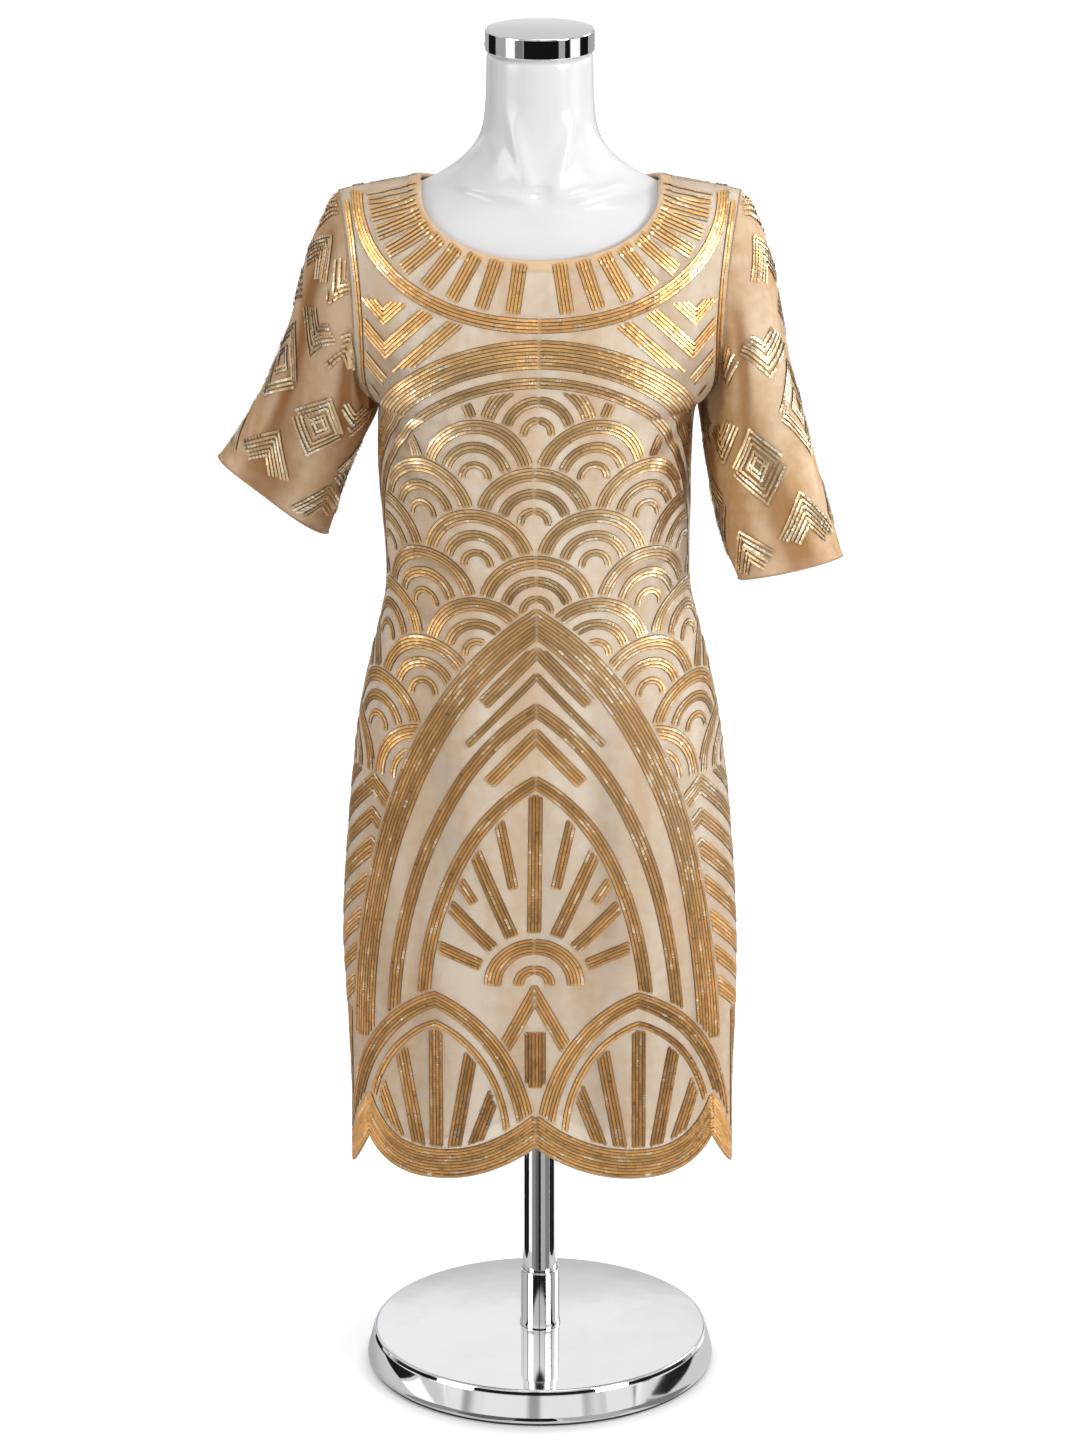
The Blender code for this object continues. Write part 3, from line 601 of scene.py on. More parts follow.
def rounded_profile(corners: tuple[tuple[float, float, float], ...]) -> Array:
    """Profile in metres with its corners rounded: each is a radius, a height and a rounding.

    A point just before and just after each rounding keeps the straight parts flat in shading.

    Args:
        corners: the corners in millimetres, in order.

    Returns:
        The profile's points.
    """
    points = []
    places = np.array(corners, float) * MM
    t = np.linspace(0, 1, ROUNDING_STEPS + 1)[:, None]
    for i, (r, z, rounding) in enumerate(places):
        here = np.array([r, z])
        if rounding == 0:
            points.append(here[None])
            continue
        back = unit(places[i - 1, :2] - here) * rounding
        ahead = unit(places[(i + 1) % len(places), :2] - here) * rounding
        bend = (1 - t) ** 2 * (here + back) + 2 * t * (1 - t) * here + t * t * (here + ahead)
        points.append(np.concatenate([[here + back * 1.25], bend, [here + ahead * 1.25]]))
    return np.concatenate(points)


# -------------------------------------------------------------------------------- finishes


class NodeBench:
    """Places nodes in one tree and wires them."""

    def __init__(self, tree: bpy.types.NodeTree) -> None:
        """Keep the tree to work on."""
        self.tree = tree

    def fill(self, node: bpy.types.Node, sockets: dict[str | int, object]) -> None:
        """Wire sockets into a node's inputs, or write plain values there.

        Args:
            node: the node or shader whose inputs are set.
            sockets: a socket to wire or a plain value for each input, by name or number.
        """
        for name, value in sockets.items():
            if isinstance(value, Socket):
                self.tree.links.new(value, node.inputs[name])
            else:
                node.inputs[name].default_value = value

    def add(
        self, kind: str, sockets: dict[str | int, object] | None = None, **settings: object
    ) -> bpy.types.NodeOutputs:
        """Outputs of a new node of a kind, with its settings and its inputs.

        Args:
            kind: the node's type, without the word ShaderNode.
            sockets: a socket or a value for each input, by name or number.
            settings: the node's own settings, such as its operation.

        Returns:
            The node's outputs.
        """
        node = self.tree.nodes.new("ShaderNode" + kind)
        for name, value in settings.items():
            setattr(node, name, value)
        self.fill(node, sockets or {})
        return node.outputs

    def maths(self, operation: str, *values: object) -> Socket:
        """Result of a Math node on sockets or numbers."""
        return self.add("Math", dict(enumerate(values)), operation=operation)[0]

    def spread(self, *values: object) -> Socket:
        """A value carried from one range to another, held at both ends: value, from, to."""
        return self.add("MapRange", dict(enumerate(values)), clamp=True)[0]

    def blend(self, share: object, *colours: object) -> Socket:
        """Colour between two, by a share."""
        first, second = (c if isinstance(c, Socket) else (*c, 1) for c in colours)
        return self.add("Mix", {"Factor": share, 6: first, 7: second}, data_type="RGBA")[2]

    def choose(self, share: Socket, first: object, second: object) -> Socket:
        """Number between two, by a share."""
        return self.add("Mix", {0: share, 2: first, 3: second}, data_type="FLOAT")[0]

    def bump(self, height: Socket, distance: float, strength: float = 1.0) -> Socket:
        """Normal of a relief."""
        sockets = {"Height": height, "Distance": distance, "Strength": strength}
        return self.add("Bump", sockets)[0]

    def effect(self, tree: bpy.types.NodeTree, **sockets: object) -> bpy.types.NodeOutputs:
        """Outputs of a shared group placed here with its own values."""
        return self.add("Group", sockets, node_tree=tree)


class Effect:
    """A shader group with named sockets, made once and used in several finishes."""

    def __init__(self, name: str, inputs: tuple[str, ...], outputs: tuple[str, ...]) -> None:
        """Start the group; its first input is a place and the others are numbers.

        Args:
            name: the group's name.
            inputs: names of its inputs.
            outputs: names of its outputs.
        """
        self.tree = bpy.data.node_groups.new(name, "ShaderNodeTree")
        for i, label in enumerate(inputs):
            kind = "NodeSocketFloat" if i else "NodeSocketVector"
            self.tree.interface.new_socket(name=label, in_out="INPUT", socket_type=kind)
        for label in outputs:
            self.tree.interface.new_socket(
                name=label, in_out="OUTPUT", socket_type="NodeSocketFloat"
            )
        self.bench = NodeBench(self.tree)
        self.given = self.tree.nodes.new("NodeGroupInput").outputs
        self.made = self.tree.nodes.new("NodeGroupOutput")

    def close(self, **results: Socket) -> bpy.types.NodeTree:
        """Wire the results out."""
        self.bench.fill(self.made, results)
        return self.tree


def thread_effect(
    name: str, slanted: bool, thread: tuple[float, float], relief: tuple[float, float, float]
) -> bpy.types.NodeTree:
    """Two families of threads that cross, each where a triangle wave is near its top.

    Args:
        name: the group's name.
        slanted: True for the diagonal threads of net, False for a plain weave.
        thread: heights of the higher wave between which the thread starts.
        relief: two such heights for the relief, and the relief at the upper one.

    Returns:
        The group, which gives the thread's mask and its relief.
    """
    effect = Effect(name, ("Flat", "Count"), ("Thread", "Relief"))
    bench, given = effect.bench, effect.given
    sockets = {0: given["Flat"], "Scale": given["Count"]}
    scaled = bench.add("VectorMath", sockets, operation="SCALE")[0]
    parts = bench.add("SeparateXYZ", {0: scaled})
    ways = [parts[0], parts[1]]
    if slanted:
        ways = [bench.maths(operation, *ways) for operation in ("ADD", "SUBTRACT")]
    ridge = bench.maths("MAXIMUM", *(bench.maths("PINGPONG", way, 0.5) for way in ways))
    low, high, top = relief
    return effect.close(
        Thread=bench.spread(ridge, *thread, 0.0, 1.0),
        Relief=bench.spread(ridge, low, high, 0.0, top),
    )


def streak_and_fold_shade_effect() -> bpy.types.NodeTree:
    """Soft lengthwise streaks of hanging cloth: noise drawn out along z, with a finer one.
    They are random tone and also paint the soft shade of lengthwise folds.

    Returns:
        The group, which gives the share of the lighter colour.
    """
    effect = Effect("hang_streaks_and_fold_shade", ("Place", "Strength"), ("Share",))
    bench, given = effect.bench, effect.given
    drawn = bench.add("Mapping", {"Vector": given["Place"], "Scale": (26.0, 26.0, 3.2)})[0]
    wide = bench.add("TexNoise", {"Vector": drawn, "Scale": 1.0, "Detail": 3.0})[0]
    fine = bench.add("TexNoise", {"Vector": given["Place"], "Scale": 90.0, "Detail": 2.0})[0]
    centred = bench.maths("SUBTRACT", bench.maths("MULTIPLY_ADD", fine, 0.35, wide), 0.675)
    share = bench.maths("MULTIPLY_ADD", centred, given["Strength"], 0.5)
    return effect.close(Share=bench.add("Clamp", {0: share})[0])


def smudge_effect() -> bpy.types.NodeTree:
    """Handling marks on a polished surface: soft noise between two roughness values.

    Returns:
        The group, which gives the roughness and the mask of the marks.
    """
    effect = Effect("smudges", ("Place", "Scale", "Low", "High"), ("Roughness", "Mask"))
    bench, given = effect.bench, effect.given
    sockets = {"Vector": given["Place"], "Scale": given["Scale"]}
    noise = bench.add("TexNoise", {**sockets, "Detail": 5.0, "Roughness": 0.62})[0]
    mask = bench.spread(noise, 0.42, 0.72, 0.0, 1.0)
    span = bench.maths("SUBTRACT", given["High"], given["Low"])
    rough = bench.maths("MULTIPLY_ADD", mask, span, given["Low"])
    return effect.close(Mask=mask, Roughness=rough)


class Effects:
    """The shader groups that more than one finish uses, each made once."""

    def __init__(self) -> None:
        """Build every group."""
        self.net = thread_effect("net_mesh", True, (0.27, 0.41), (0.2, 0.5, 1.0))
        self.weave = thread_effect("plain_weave", False, (0.1, 0.5), (0.0, 0.5, 0.5))
        self.streaks = streak_and_fold_shade_effect()
        self.smudges = smudge_effect()


def start_material(name: str) -> tuple[Material, NodeBench, bpy.types.Node]:
    """A new material with its bench and its Principled shader.

    Args:
        name: the material's name.

    Returns:
        The material, its bench and its shader.
    """
    material = bpy.data.materials.new(name)
    material.use_nodes = True
    bench = NodeBench(material.node_tree)
    return material, bench, material.node_tree.nodes["Principled BSDF"]


@dataclass(frozen=True)
class ClothFinish:
    """Net or woven cloth: colours, thread count, how open it is, sheen, and painted shade."""

    name: str
    light: Colour
    dark: Colour
    threads_per_metre: float
    thread_cover: float
    hole_cover: float
    roughness: float
    sheen: float
    streak: float
    relief: float
    is_net: bool
    # deep: the colour that the painted shade blends towards.
    deep: Colour = (0.27, 0.145, 0.06)
    painted_shade_depth: float = 0.8

    def make(self, effects: Effects) -> Material:
        """Material with streaked colour, painted shade, thread relief and, on net, open meshes.

        Args:
            effects: the shared groups.

        Returns:
            The material.
        """
        material, bench, shader = start_material(self.name)
        flat = bench.add("UVMap", uv_map="flat")[0]
        place = bench.add("TexCoord")["Object"]
        streaks = bench.effect(effects.streaks, Place=place, Strength=self.streak)[0]
        colour = bench.blend(streaks, self.dark, self.light)
        # The tone attribute holds painted shade, which darkens the colour towards deep.
        shade = bench.add("Attribute", attribute_name="tone")["Fac"]
        share = bench.maths("MULTIPLY", shade, self.painted_shade_depth)
        tree = effects.net if self.is_net else effects.weave
        mesh = bench.effect(tree, Flat=flat, Count=self.threads_per_metre)
        values = {
            "Base Color": bench.blend(share, colour, self.deep),
            "Normal": bench.bump(mesh["Relief"], self.relief, 0.6),
            "Roughness": self.roughness,
            "Sheen Weight": self.sheen,
            "Sheen Roughness": 0.4,
            "Specular IOR Level": 0.25,
        }
        if self.thread_cover < 1:
            cover = (self.hole_cover, self.thread_cover)
            values["Alpha"] = bench.spread(mesh["Thread"], 0.0, 1.0, *cover)
        bench.fill(shader, values)
        return material


@dataclass(frozen=True)
class SequinFinish:
    """Metallised sequins: colour and polish come from each sequin's own tone, which holds painted
    glints and highlights as well as its colour.
    """

    name: str
    smooth: float
    worn: float

    def make(self, effects: Effects) -> Material:
        """Material that reads the tone attribute for colour and roughness.

        Args:
            effects: the shared groups.

        Returns:
            The material.
        """
        material, bench, shader = start_material(self.name)
        tone = bench.add("Attribute", attribute_name="tone")
        place = bench.add("TexCoord")["Object"]
        dust = bench.effect(effects.smudges, Place=place, Scale=160.0, Low=0.0, High=0.12)
        polish = bench.spread(tone["Alpha"], 0.0, 1.0, self.smooth, self.worn)
        rough = bench.maths("ADD", polish, dust["Roughness"])
        values = {"Base Color": tone["Color"], "Roughness": rough, "Metallic": 1.0}
        bench.fill(shader, values)
        return material


@dataclass(frozen=True)
class ThreadFinish:
    """Stitching thread: a dull colour with fine twist."""

    name: str
    colour: Colour
    roughness: float

    def make(self, effects: Effects) -> Material:
        """Material with a small change of colour and a twisted relief.

        Args:
            effects: the shared groups.

        Returns:
            The material.
        """
        material, bench, shader = start_material(self.name)
        place = bench.add("TexCoord")["Object"]
        marks = bench.effect(effects.smudges, Place=place, Scale=420.0, Low=0.0, High=1.0)
        deep = tuple(0.72 * c for c in self.colour)
        values = {
            "Base Color": bench.blend(marks["Mask"], self.colour, deep),
            "Normal": bench.bump(marks["Roughness"], 0.0002),
            "Roughness": self.roughness,
            "Sheen Weight": 0.15,
        }
        bench.fill(shader, values)
        return material


@dataclass(frozen=True)
class PolishedFinish:
    """Hard polished surface: gloss paint, chrome or rubber."""

    name: str
    colour: Colour
    metallic: float
    roughness: tuple[float, float]
    mark_scale: float
    coat: float
    ripple: float

    def make(self, effects: Effects) -> Material:
        """Material with handling marks in its roughness and a faint ripple.

        Args:
            effects: the shared groups.

        Returns:
            The material.
        """
        material, bench, shader = start_material(self.name)
        place = bench.add("TexCoord")["Object"]
        low, high = self.roughness
        marks = bench.effect(
            effects.smudges, Place=place, Scale=self.mark_scale, Low=low, High=high
        )
        dusty = tuple(0.955 * c for c in self.colour)
        ripple = bench.add("TexNoise", {"Vector": place, "Scale": 38.0, "Detail": 1.0})[0]
        values = {
            "Base Color": bench.blend(marks["Mask"], self.colour, dusty),
            "Normal": bench.bump(ripple, self.ripple, 0.5),
            "Roughness": marks["Roughness"],
            "Metallic": self.metallic,
            "Coat Weight": self.coat,
            "Coat Roughness": 0.04,
        }
        bench.fill(shader, values)
        return material


class Finishes:
    """Every material of the model, made once."""

    def __init__(self) -> None:
        """Make the effects, then each finish from its values."""
        effects = Effects()
        nude, tan, satin_tan = (0.98, 0.86, 0.70), (0.84, 0.62, 0.42), (0.87, 0.67, 0.47)
        self.body_net = ClothFinish(
            "nude_net", nude, tan, 1150, 0.80, 0.56, 0.6, 0.18, 3.2, 0.0002, True
        ).make(effects)
        self.sleeve_net = ClothFinish(
            "sleeve_net", (0.96, 0.74, 0.515), (0.70, 0.42, 0.195), 1150, 0.94, 0.72, 0.7, 0.0,
            2.6, 0.0002, True, deep=(0.36, 0.145, 0.035), painted_shade_depth=0.92,
        ).make(effects)
        self.lining = ClothFinish(
            "lining_satin", nude, satin_tan, 3200, 1.0, 1.0, 0.5, 0.1, 2.6, 0.00008, False
        ).make(effects)
        self.binding = ClothFinish(
            "binding_self_cloth", (0.82, 0.59, 0.365), (0.68, 0.465, 0.27), 2600, 1.0, 1.0, 0.62,
            0.12, 1.8, 0.0001, False,
        ).make(effects)
        self.sequins = SequinFinish("sequin_gold", 0.2, 0.42).make(effects)
        self.sleeve_sequins = SequinFinish("sequin_champagne", 0.2, 0.36).make(effects)
        # Dark couching thread; where it shows beside the sequins it paints the shadow between the
        # rows.
        self.sewing_and_shadow = ThreadFinish("sewing_thread_and_shadow", (0.20, 0.105, 0.045), 0.8).make(effects)
        self.edge_thread = ThreadFinish("edge_thread", (0.50, 0.33, 0.18), 0.75).make(effects)
        self.form = PolishedFinish(
            "form_gloss_white", (0.80, 0.80, 0.815), 0.0, (0.14, 0.24), 7.0, 0.5, 0.0004
        ).make(effects)
        self.chrome = PolishedFinish(
            "stand_chrome", (0.84, 0.84, 0.855), 1.0, (0.035, 0.075), 11.0, 0.0, 0.00003
        ).make(effects)
        self.rubber = PolishedFinish(
            "foot_rubber", (0.018, 0.018, 0.019), 0.0, (0.55, 0.8), 60.0, 0.0, 0.0002
        ).make(effects)


# ------------------------------------------------------------------------- shape of the dress


@dataclass(frozen=True)
class DressCut:
    """Outside shape of the hanging dress, worked out from its section table."""

    neck_half_width: float = 105 * MM
    front_neck_z: float = 1061 * MM
    back_neck_z: float = 1096 * MM
    neck_power: float = 2.15
    neck_crowding: float = 1.4
    binding_width: float = 9 * MM
    binding_lift: float = 0.9 * MM
    shoulder_x: float = 175 * MM
    shoulder_z: float = 1104 * MM
    underarm_x: float = 139.5 * MM
    underarm_z: float = 919 * MM
    hem_cusp_z: float = 232 * MM
    hem_low_z: float = 198 * MM
    hem_turn_deg: float = -3.0
    turn_stop_z: float = 335 * MM
    scallop_power: float = 2.3
    section_power: float = 2.1
    shoulder_share: float = 1 / 3
    yoke_cells: int = 8
    yoke_crowding: float = 1.35

    def section(self, z: Array) -> list[Array]:
        """Half width, front reach, back reach, seam y, end power and middle x at each level.

        Args:
            z: levels in metres.

        Returns:
            One array for each of the six values.
        """
        rows = np.array(sorted(DRESS_SECTIONS), float).T
        units = (MM, MM, MM, MM, 1.0, MM)
        return [smooth_table(rows[0] * MM, row * scale, z) for row, scale in zip(rows[1:], units)]

    def width(self, z: Array) -> tuple[Array, Array]:
        """Half width and middle x at each level."""
        half, _, _, _, _, middle = self.section(z)
        return half, middle

    def cloth_y(self, x: Array, z: Array, side: Side) -> Array:
        """Y of the cloth: seam y plus reach times (1 - |x from middle / half|^2.1) ^ end power.

        Args:
            x: distance from the centre plane.
            z: level of each place.
            side: front or back.

        Returns:
            The cloth's y at each place.
        """
        half, front, back, seam_y, power, middle = self.section(z)
        reach = front + seam_y if side is Side.FRONT else back - seam_y
        share = np.clip(np.abs(x - middle) / half, 0, 1)
        return seam_y + side.value * reach * (1 - share**self.section_power) ** power

    def leaned(self, angle: Array, z: Array) -> Array:
        """Angles of the panel's columns, which turn round the figure on their way down.

        Each angle grows by the turn at that level times its own cosine, so the seams stay.

        Args:
            angle: angle of each column at the underarm.
            z: level of each place.

        Returns:
            The angle at that level.
        """
        drop = np.clip(self.underarm_z - np.maximum(z, self.turn_stop_z), 0, None)
        turn = math.radians(self.hem_turn_deg) * drop / self.underarm_z
        return angle + turn * np.cos(angle)

    def at_angle(self, angle: Array, z: Array, side: Side) -> Array:
        """Points of the cloth at an angle from the middle: x = middle + half width x sine.

        Args:
            angle: angle of each place from the middle of the panel.
            z: level of each place.
            side: front or back.

        Returns:
            The points.
        """
        half, middle = self.width(z)
        x = middle + half * np.sin(angle)
        return np.stack([x, self.cloth_y(x, z, side), z], axis=-1)

    def column_angles(self, finer: int) -> Array:
        """Angle of each panel column from the centre, so that a column ends at every cusp.

        Args:
            finer: cells for each one of the coarse table.

        Returns:
            The angles in radians, from the wearer's right to the left.
        """
        spans = zip(SCALLOP_BREAKS_DEG, SCALLOP_BREAKS_DEG[1:], SCALLOP_CELLS)
        angles = [np.linspace(start, end, cells * finer + 1)[1:] for start, end, cells in spans]
        return np.radians(np.concatenate([SCALLOP_BREAKS_DEG[:1], *angles]))

    def neck_cells(self, finer: int) -> int:
        """Columns from the centre to where the neck edge meets the shoulder seam."""
        return round(sum(SCALLOP_CELLS) // 2 * (1 - self.shoulder_share)) * finer

    def hem_level(self, angle: Array) -> Array:
        """Level of the scalloped edge: cusp less depth times (1 - |place in lobe|^2.3).

        Args:
            angle: angle of each column at the underarm.

        Returns:
            The level of the edge.
        """
        degrees = np.clip(np.abs(np.degrees(angle)), 0, 90)
        middle, side = SCALLOP_BREAKS_DEG[3], SCALLOP_BREAKS_DEG[4] - SCALLOP_BREAKS_DEG[3]
        place = np.where(degrees <= middle, 2 * degrees / middle - 1, (90 - degrees) / side)
        swing = 1 - np.abs(place) ** self.scallop_power
        return self.hem_cusp_z - (self.hem_cusp_z - self.hem_low_z) * swing

    def neck_low(self, side: Side) -> float:
        """Lowest level of the neck edge on one side."""
        return self.front_neck_z if side is Side.FRONT else self.back_neck_z

    def shoulder_level(self, x: Array) -> Array:
        """Level of the shoulder seam at x, where the section is just that wide.

        Args:
            x: distance from the centre plane.

        Returns:
            The level of the seam.
        """
        rows = np.array(sorted(DRESS_SECTIONS), float) * MM
        top = rows[rows[:, 0] > self.shoulder_z - 1e-6][::-1]
        return smooth_table(top[:, 1], top[:, 0], np.abs(x))

    def neck_curve(self, shares: Array, side: Side, spread: float | Array) -> tuple[Array, Array]:
        """X and z along half a neck edge, centre to side; spread moves it down on the cloth.

        Args:
            shares: places along the edge, from 0 at the centre to 1 at the side.
            side: front or back.
            spread: distance from the edge, down on the cloth.

        Returns:
            X and z of each place.
        """
        half = self.neck_half_width + spread
        x = half * np.sin(shares * math.pi / 2)
        side_z = self.shoulder_level(half + 0 * x)
        drop = (1 - np.clip(x / half, 0, 1) ** self.neck_power) ** (1 / self.neck_power)
        return x, side_z - (side_z - (self.neck_low(side) - spread)) * drop

    def past_neck(self, x: Array, z: Array, side: Side) -> Array:
        """Distance past the neck edge, along the line from the middle of the neck's top.

        With r the length of (x / half, drop / depth) in the edge's own power, the edge is
        where r is 1, so the distance is the line's length times (1 - 1 / r).

        Args:
            x: distance from the centre plane.
            z: level of each place.
            side: front or back.

        Returns:
            The distance, below zero inside the neck's opening.
        """
        half = self.neck_half_width
        top = self.shoulder_level(np.array([half]))[0]
        drop = np.maximum(top - z, 0)
        share = (np.abs(x) / half) ** self.neck_power
        share = share + (drop / (top - self.neck_low(side))) ** self.neck_power
        r = np.maximum(share, 1e-9) ** (1 / self.neck_power)
        return np.hypot(x, drop) * (1 - 1 / r)

    def armhole_x(self, z: Array) -> Array:
        """Distance of the armhole edge from the centre at each level."""
        level, reach = np.array(sorted(ARMHOLE), float).T * MM
        return smooth_table(level, reach, z)

    def armhole_curve(self, shares: Array, inset: float) -> Array:
        """X and z along an armhole edge, underarm to shoulder, at shares of its length.

        Args:
            shares: places along the edge, from 0 to 1.
            inset: how far the edge keeps in, above the underarm.

        Returns:
            X and z of each place.
        """
        z = self.underarm_z + (self.shoulder_z - self.underarm_z) * np.linspace(0, 1, 400) ** 1.6
        x = self.armhole_x(z) - inset * np.clip((z - self.underarm_z) / (12 * MM), 0, 1)
        edge = np.stack([x, z], axis=1)
        length = along(edge)
        return at_distance(shares * length[-1], length, edge)

    def yoke(self, side: Side, finer: int, inset: float) -> Array:
        """Patch from the underarm level to the neck edge and shoulders, shoulder row first.

        The patch blends its four edges: bottom, top, centre and armhole curve, less the
        blend of its corners, and then takes its y from the cloth section.

        Args:
            side: front or back.
            finer: cells for each one of the coarse table.
            inset: how far the shoulder and the armhole keep in from the edge.

        Returns:
            The grid of points.
        """
        angles = self.column_angles(finer)
        half_cells = len(angles) // 2
        across = np.arange(half_cells + 1) / half_cells
        up = crowded(self.yoke_cells * finer, self.yoke_crowding)
        neck_cells = self.neck_cells(finer)
        neck_x, neck_z = self.neck_curve(crowded(neck_cells, self.neck_crowding), side, 0.0)
        reach = self.shoulder_x - inset
        seam_x = np.linspace(neck_x[-1], reach, half_cells - neck_cells + 1)[1:]
        top_z = np.append(neck_z, self.shoulder_level(seam_x))
        top = np.stack([np.append(neck_x, seam_x), top_z], axis=1)
        bottom_x = self.underarm_x * np.sin(angles[half_cells:])
        bottom = np.stack([bottom_x, np.full(half_cells + 1, self.underarm_z)], axis=1)
        arm = self.armhole_curve(up, inset)
        arm[-1] = top[-1]
        rise = (self.neck_low(side) - self.underarm_z) * up
        centre = np.stack([np.zeros(len(up)), self.underarm_z + rise], axis=1)
        a, v = across[None, :, None], up[:, None, None]
        edges = (1 - v) * bottom + v * top + (1 - a) * centre[:, None] + a * arm[:, None]
        corners = (1 - v) * ((1 - a) * bottom[0] + a * bottom[-1])
        half_grid = edges - corners - v * ((1 - a) * top[0] + a * top[-1])
        grid = np.concatenate([half_grid[:, :0:-1] * [-1, 1], half_grid], axis=1)
        middle = self.width(np.full(1, self.underarm_z))[1]
        x, z = grid[..., 0] + middle * (1 - up[:, None]), grid[..., 1]
        return np.stack([x, self.cloth_y(x, z, side), z], axis=2)[::-1]

    def panel(self, side: Side, levels: tuple, hem: tuple, finer: int, inset: float) -> Array:
        """Grid of a whole panel, shoulder row first and the wearer's right first.

        Args:
            side: front or back.
            levels: levels of the rows under the yoke, in millimetres.
            hem: shares of the way from the last level to the scalloped edge, for more rows.
            finer: cells for each one of the coarse table.
            inset: how far the shoulder and the armhole keep in from the edge.

        Returns:
            The grid of points.
        """
        angles = self.column_angles(finer)
        shares = finer_steps((0, *hem), finer)[1:, None]
        start = levels[-1] * MM
        upper = finer_steps(levels, finer)[1:, None] * MM + 0 * angles
        z = np.concatenate([upper, start + (self.hem_level(angles) - start) * shares])
        below = self.at_angle(self.leaned(angles, np.maximum(z, start)), z, side)
        return np.concatenate([self.yoke(side, finer, inset), below])


@dataclass(frozen=True)
class Crease:
    """One soft fold of the cloth: a ridge, or a trough where its rise is below zero."""

    start_across: float
    start_down: float
    end_across: float
    end_down: float
    width: float
    rise: float
    end_power: float = 0.7

    def lift(self, across: Array, down: Array) -> Array:
        """Bell curve of the distance to the fold's line, faded towards both of its ends.

        Args:
            across: first coordinate of each place, in the fold's own unit.
            down: second coordinate of each place.

        Returns:
            The rise at each place.
        """
        line = np.array([self.end_across - self.start_across, self.end_down - self.start_down])
        length = float(np.hypot(*line))
        step = line / length
        da, db = across - self.start_across, down - self.start_down
        share = (da * step[0] + db * step[1]) / length
        off = np.abs(da * step[1] - db * step[0])
        ends = np.clip(np.sin(np.clip(share, 0, 1) * math.pi), 0, 1) ** self.end_power
        return self.rise * np.exp(-((off / self.width) ** 2)) * ends


# Folds as x and z of both ends, width and rise, in millimetres.
FRONT_CREASES = (
    (-141, 918, -84, 868, 6.5, -1.7),
    (-148, 935, -100, 905, 6.0, 1.3),
    (-139, 900, -100, 846, 7.0, -1.1),
    (141, 918, 88, 872, 6.5, -1.6),
    (148, 938, 104, 902, 6.5, 1.2),
    (138, 896, 104, 850, 7.0, -1.0),
    (-158, 1010, -116, 948, 8.0, -1.0),
    (157, 1004, 120, 944, 8.0, -1.1),
    (-150, 1082, -96, 1034, 9.0, 0.9),
    (146, 1080, 104, 1030, 9.0, -0.8),
    (-130, 800, -62, 778, 7.5, -1.4),
    (-128, 770, -72, 760, 6.5, 1.1),
    (-134, 744, -80, 736, 8.0, -1.0),
    (130, 794, 68, 772, 7.5, -1.3),
    (130, 762, 80, 752, 7.0, 1.0),
    (134, 738, 84, 728, 8.0, -0.9),
    (-96, 716, -74, 420, 15.0, -1.3),
    (-44, 652, -38, 330, 14.0, 1.0),
    (10, 590, 6, 286, 12.0, -0.8),
    (54, 690, 66, 372, 16.0, -1.2),
    (104, 640, 114, 300, 14.0, 1.2),
    (-128, 560, -132, 280, 13.0, 1.1),
    (142, 520, 146, 260, 12.0, -1.0),
    (0, 1040, 0, 930, 20.0, -0.7),
)
BACK_CREASES = (
    (-140, 915, -86, 880, 7.0, -1.4),
    (140, 914, 92, 874, 7.0, -1.4),
    (-60, 1080, -72, 960, 14.0, -0.9),
    (58, 1080, 74, 950, 14.0, -0.9),
    (-128, 792, -40, 772, 8.0, -1.5),
    (-60, 752, 52, 746, 8.0, 1.3),
    (128, 784, 36, 766, 8.0, -1.4),
    (0, 1070, 0, 830, 18.0, -1.1),
    (-88, 640, -78, 330, 15.0, -1.2),
    (-30, 620, -26, 300, 15.0, 1.1),
    (34, 610, 38, 300, 14.0, -1.1),
    (96, 650, 104, 320, 16.0, 1.2),
)


@dataclass(frozen=True)
class FallOfCloth:
    """How the body cloth stands off its plain shape: creases and slow waves in the skirt."""

    cut: DressCut
    crease_gain: float = 1.35
    wave_top: float = 640 * MM
    wave_rise: float = 0.9 * MM
    seam_power: float = 12

    def lift(self, x: Array, z: Array, side: Side) -> Array:
        """How far the cloth stands out: creases and waves, held to nothing along the seams.

        Args:
            x: distance from the centre plane.
            z: level of each place.
            side: front or back.

        Returns:
            The rise in metres at each place.
        """
        rows = FRONT_CREASES if side is Side.FRONT else BACK_CREASES
        rise = sum(Crease(*row).lift(x / MM, z / MM) for row in rows) * MM * self.crease_gain
        deep = fade((self.wave_top - z) / (self.wave_top - self.cut.hem_low_z))
        waves = np.sin(x / (24 * MM) + 0.7 + z / (190 * MM))
        waves = waves + 0.6 * np.sin(x / (13.5 * MM) + 2.1 - z / (240 * MM))
        rise = rise + self.wave_rise * deep * waves
        half, middle = self.cut.width(z)
        off = np.clip(np.abs(x - middle) / half, 0, 1)
        seam = np.where(z > self.cut.underarm_z, np.abs(x) / self.cut.armhole_x(z), off)
        return rise * (1 - np.clip(seam, 0, 1) ** self.seam_power)


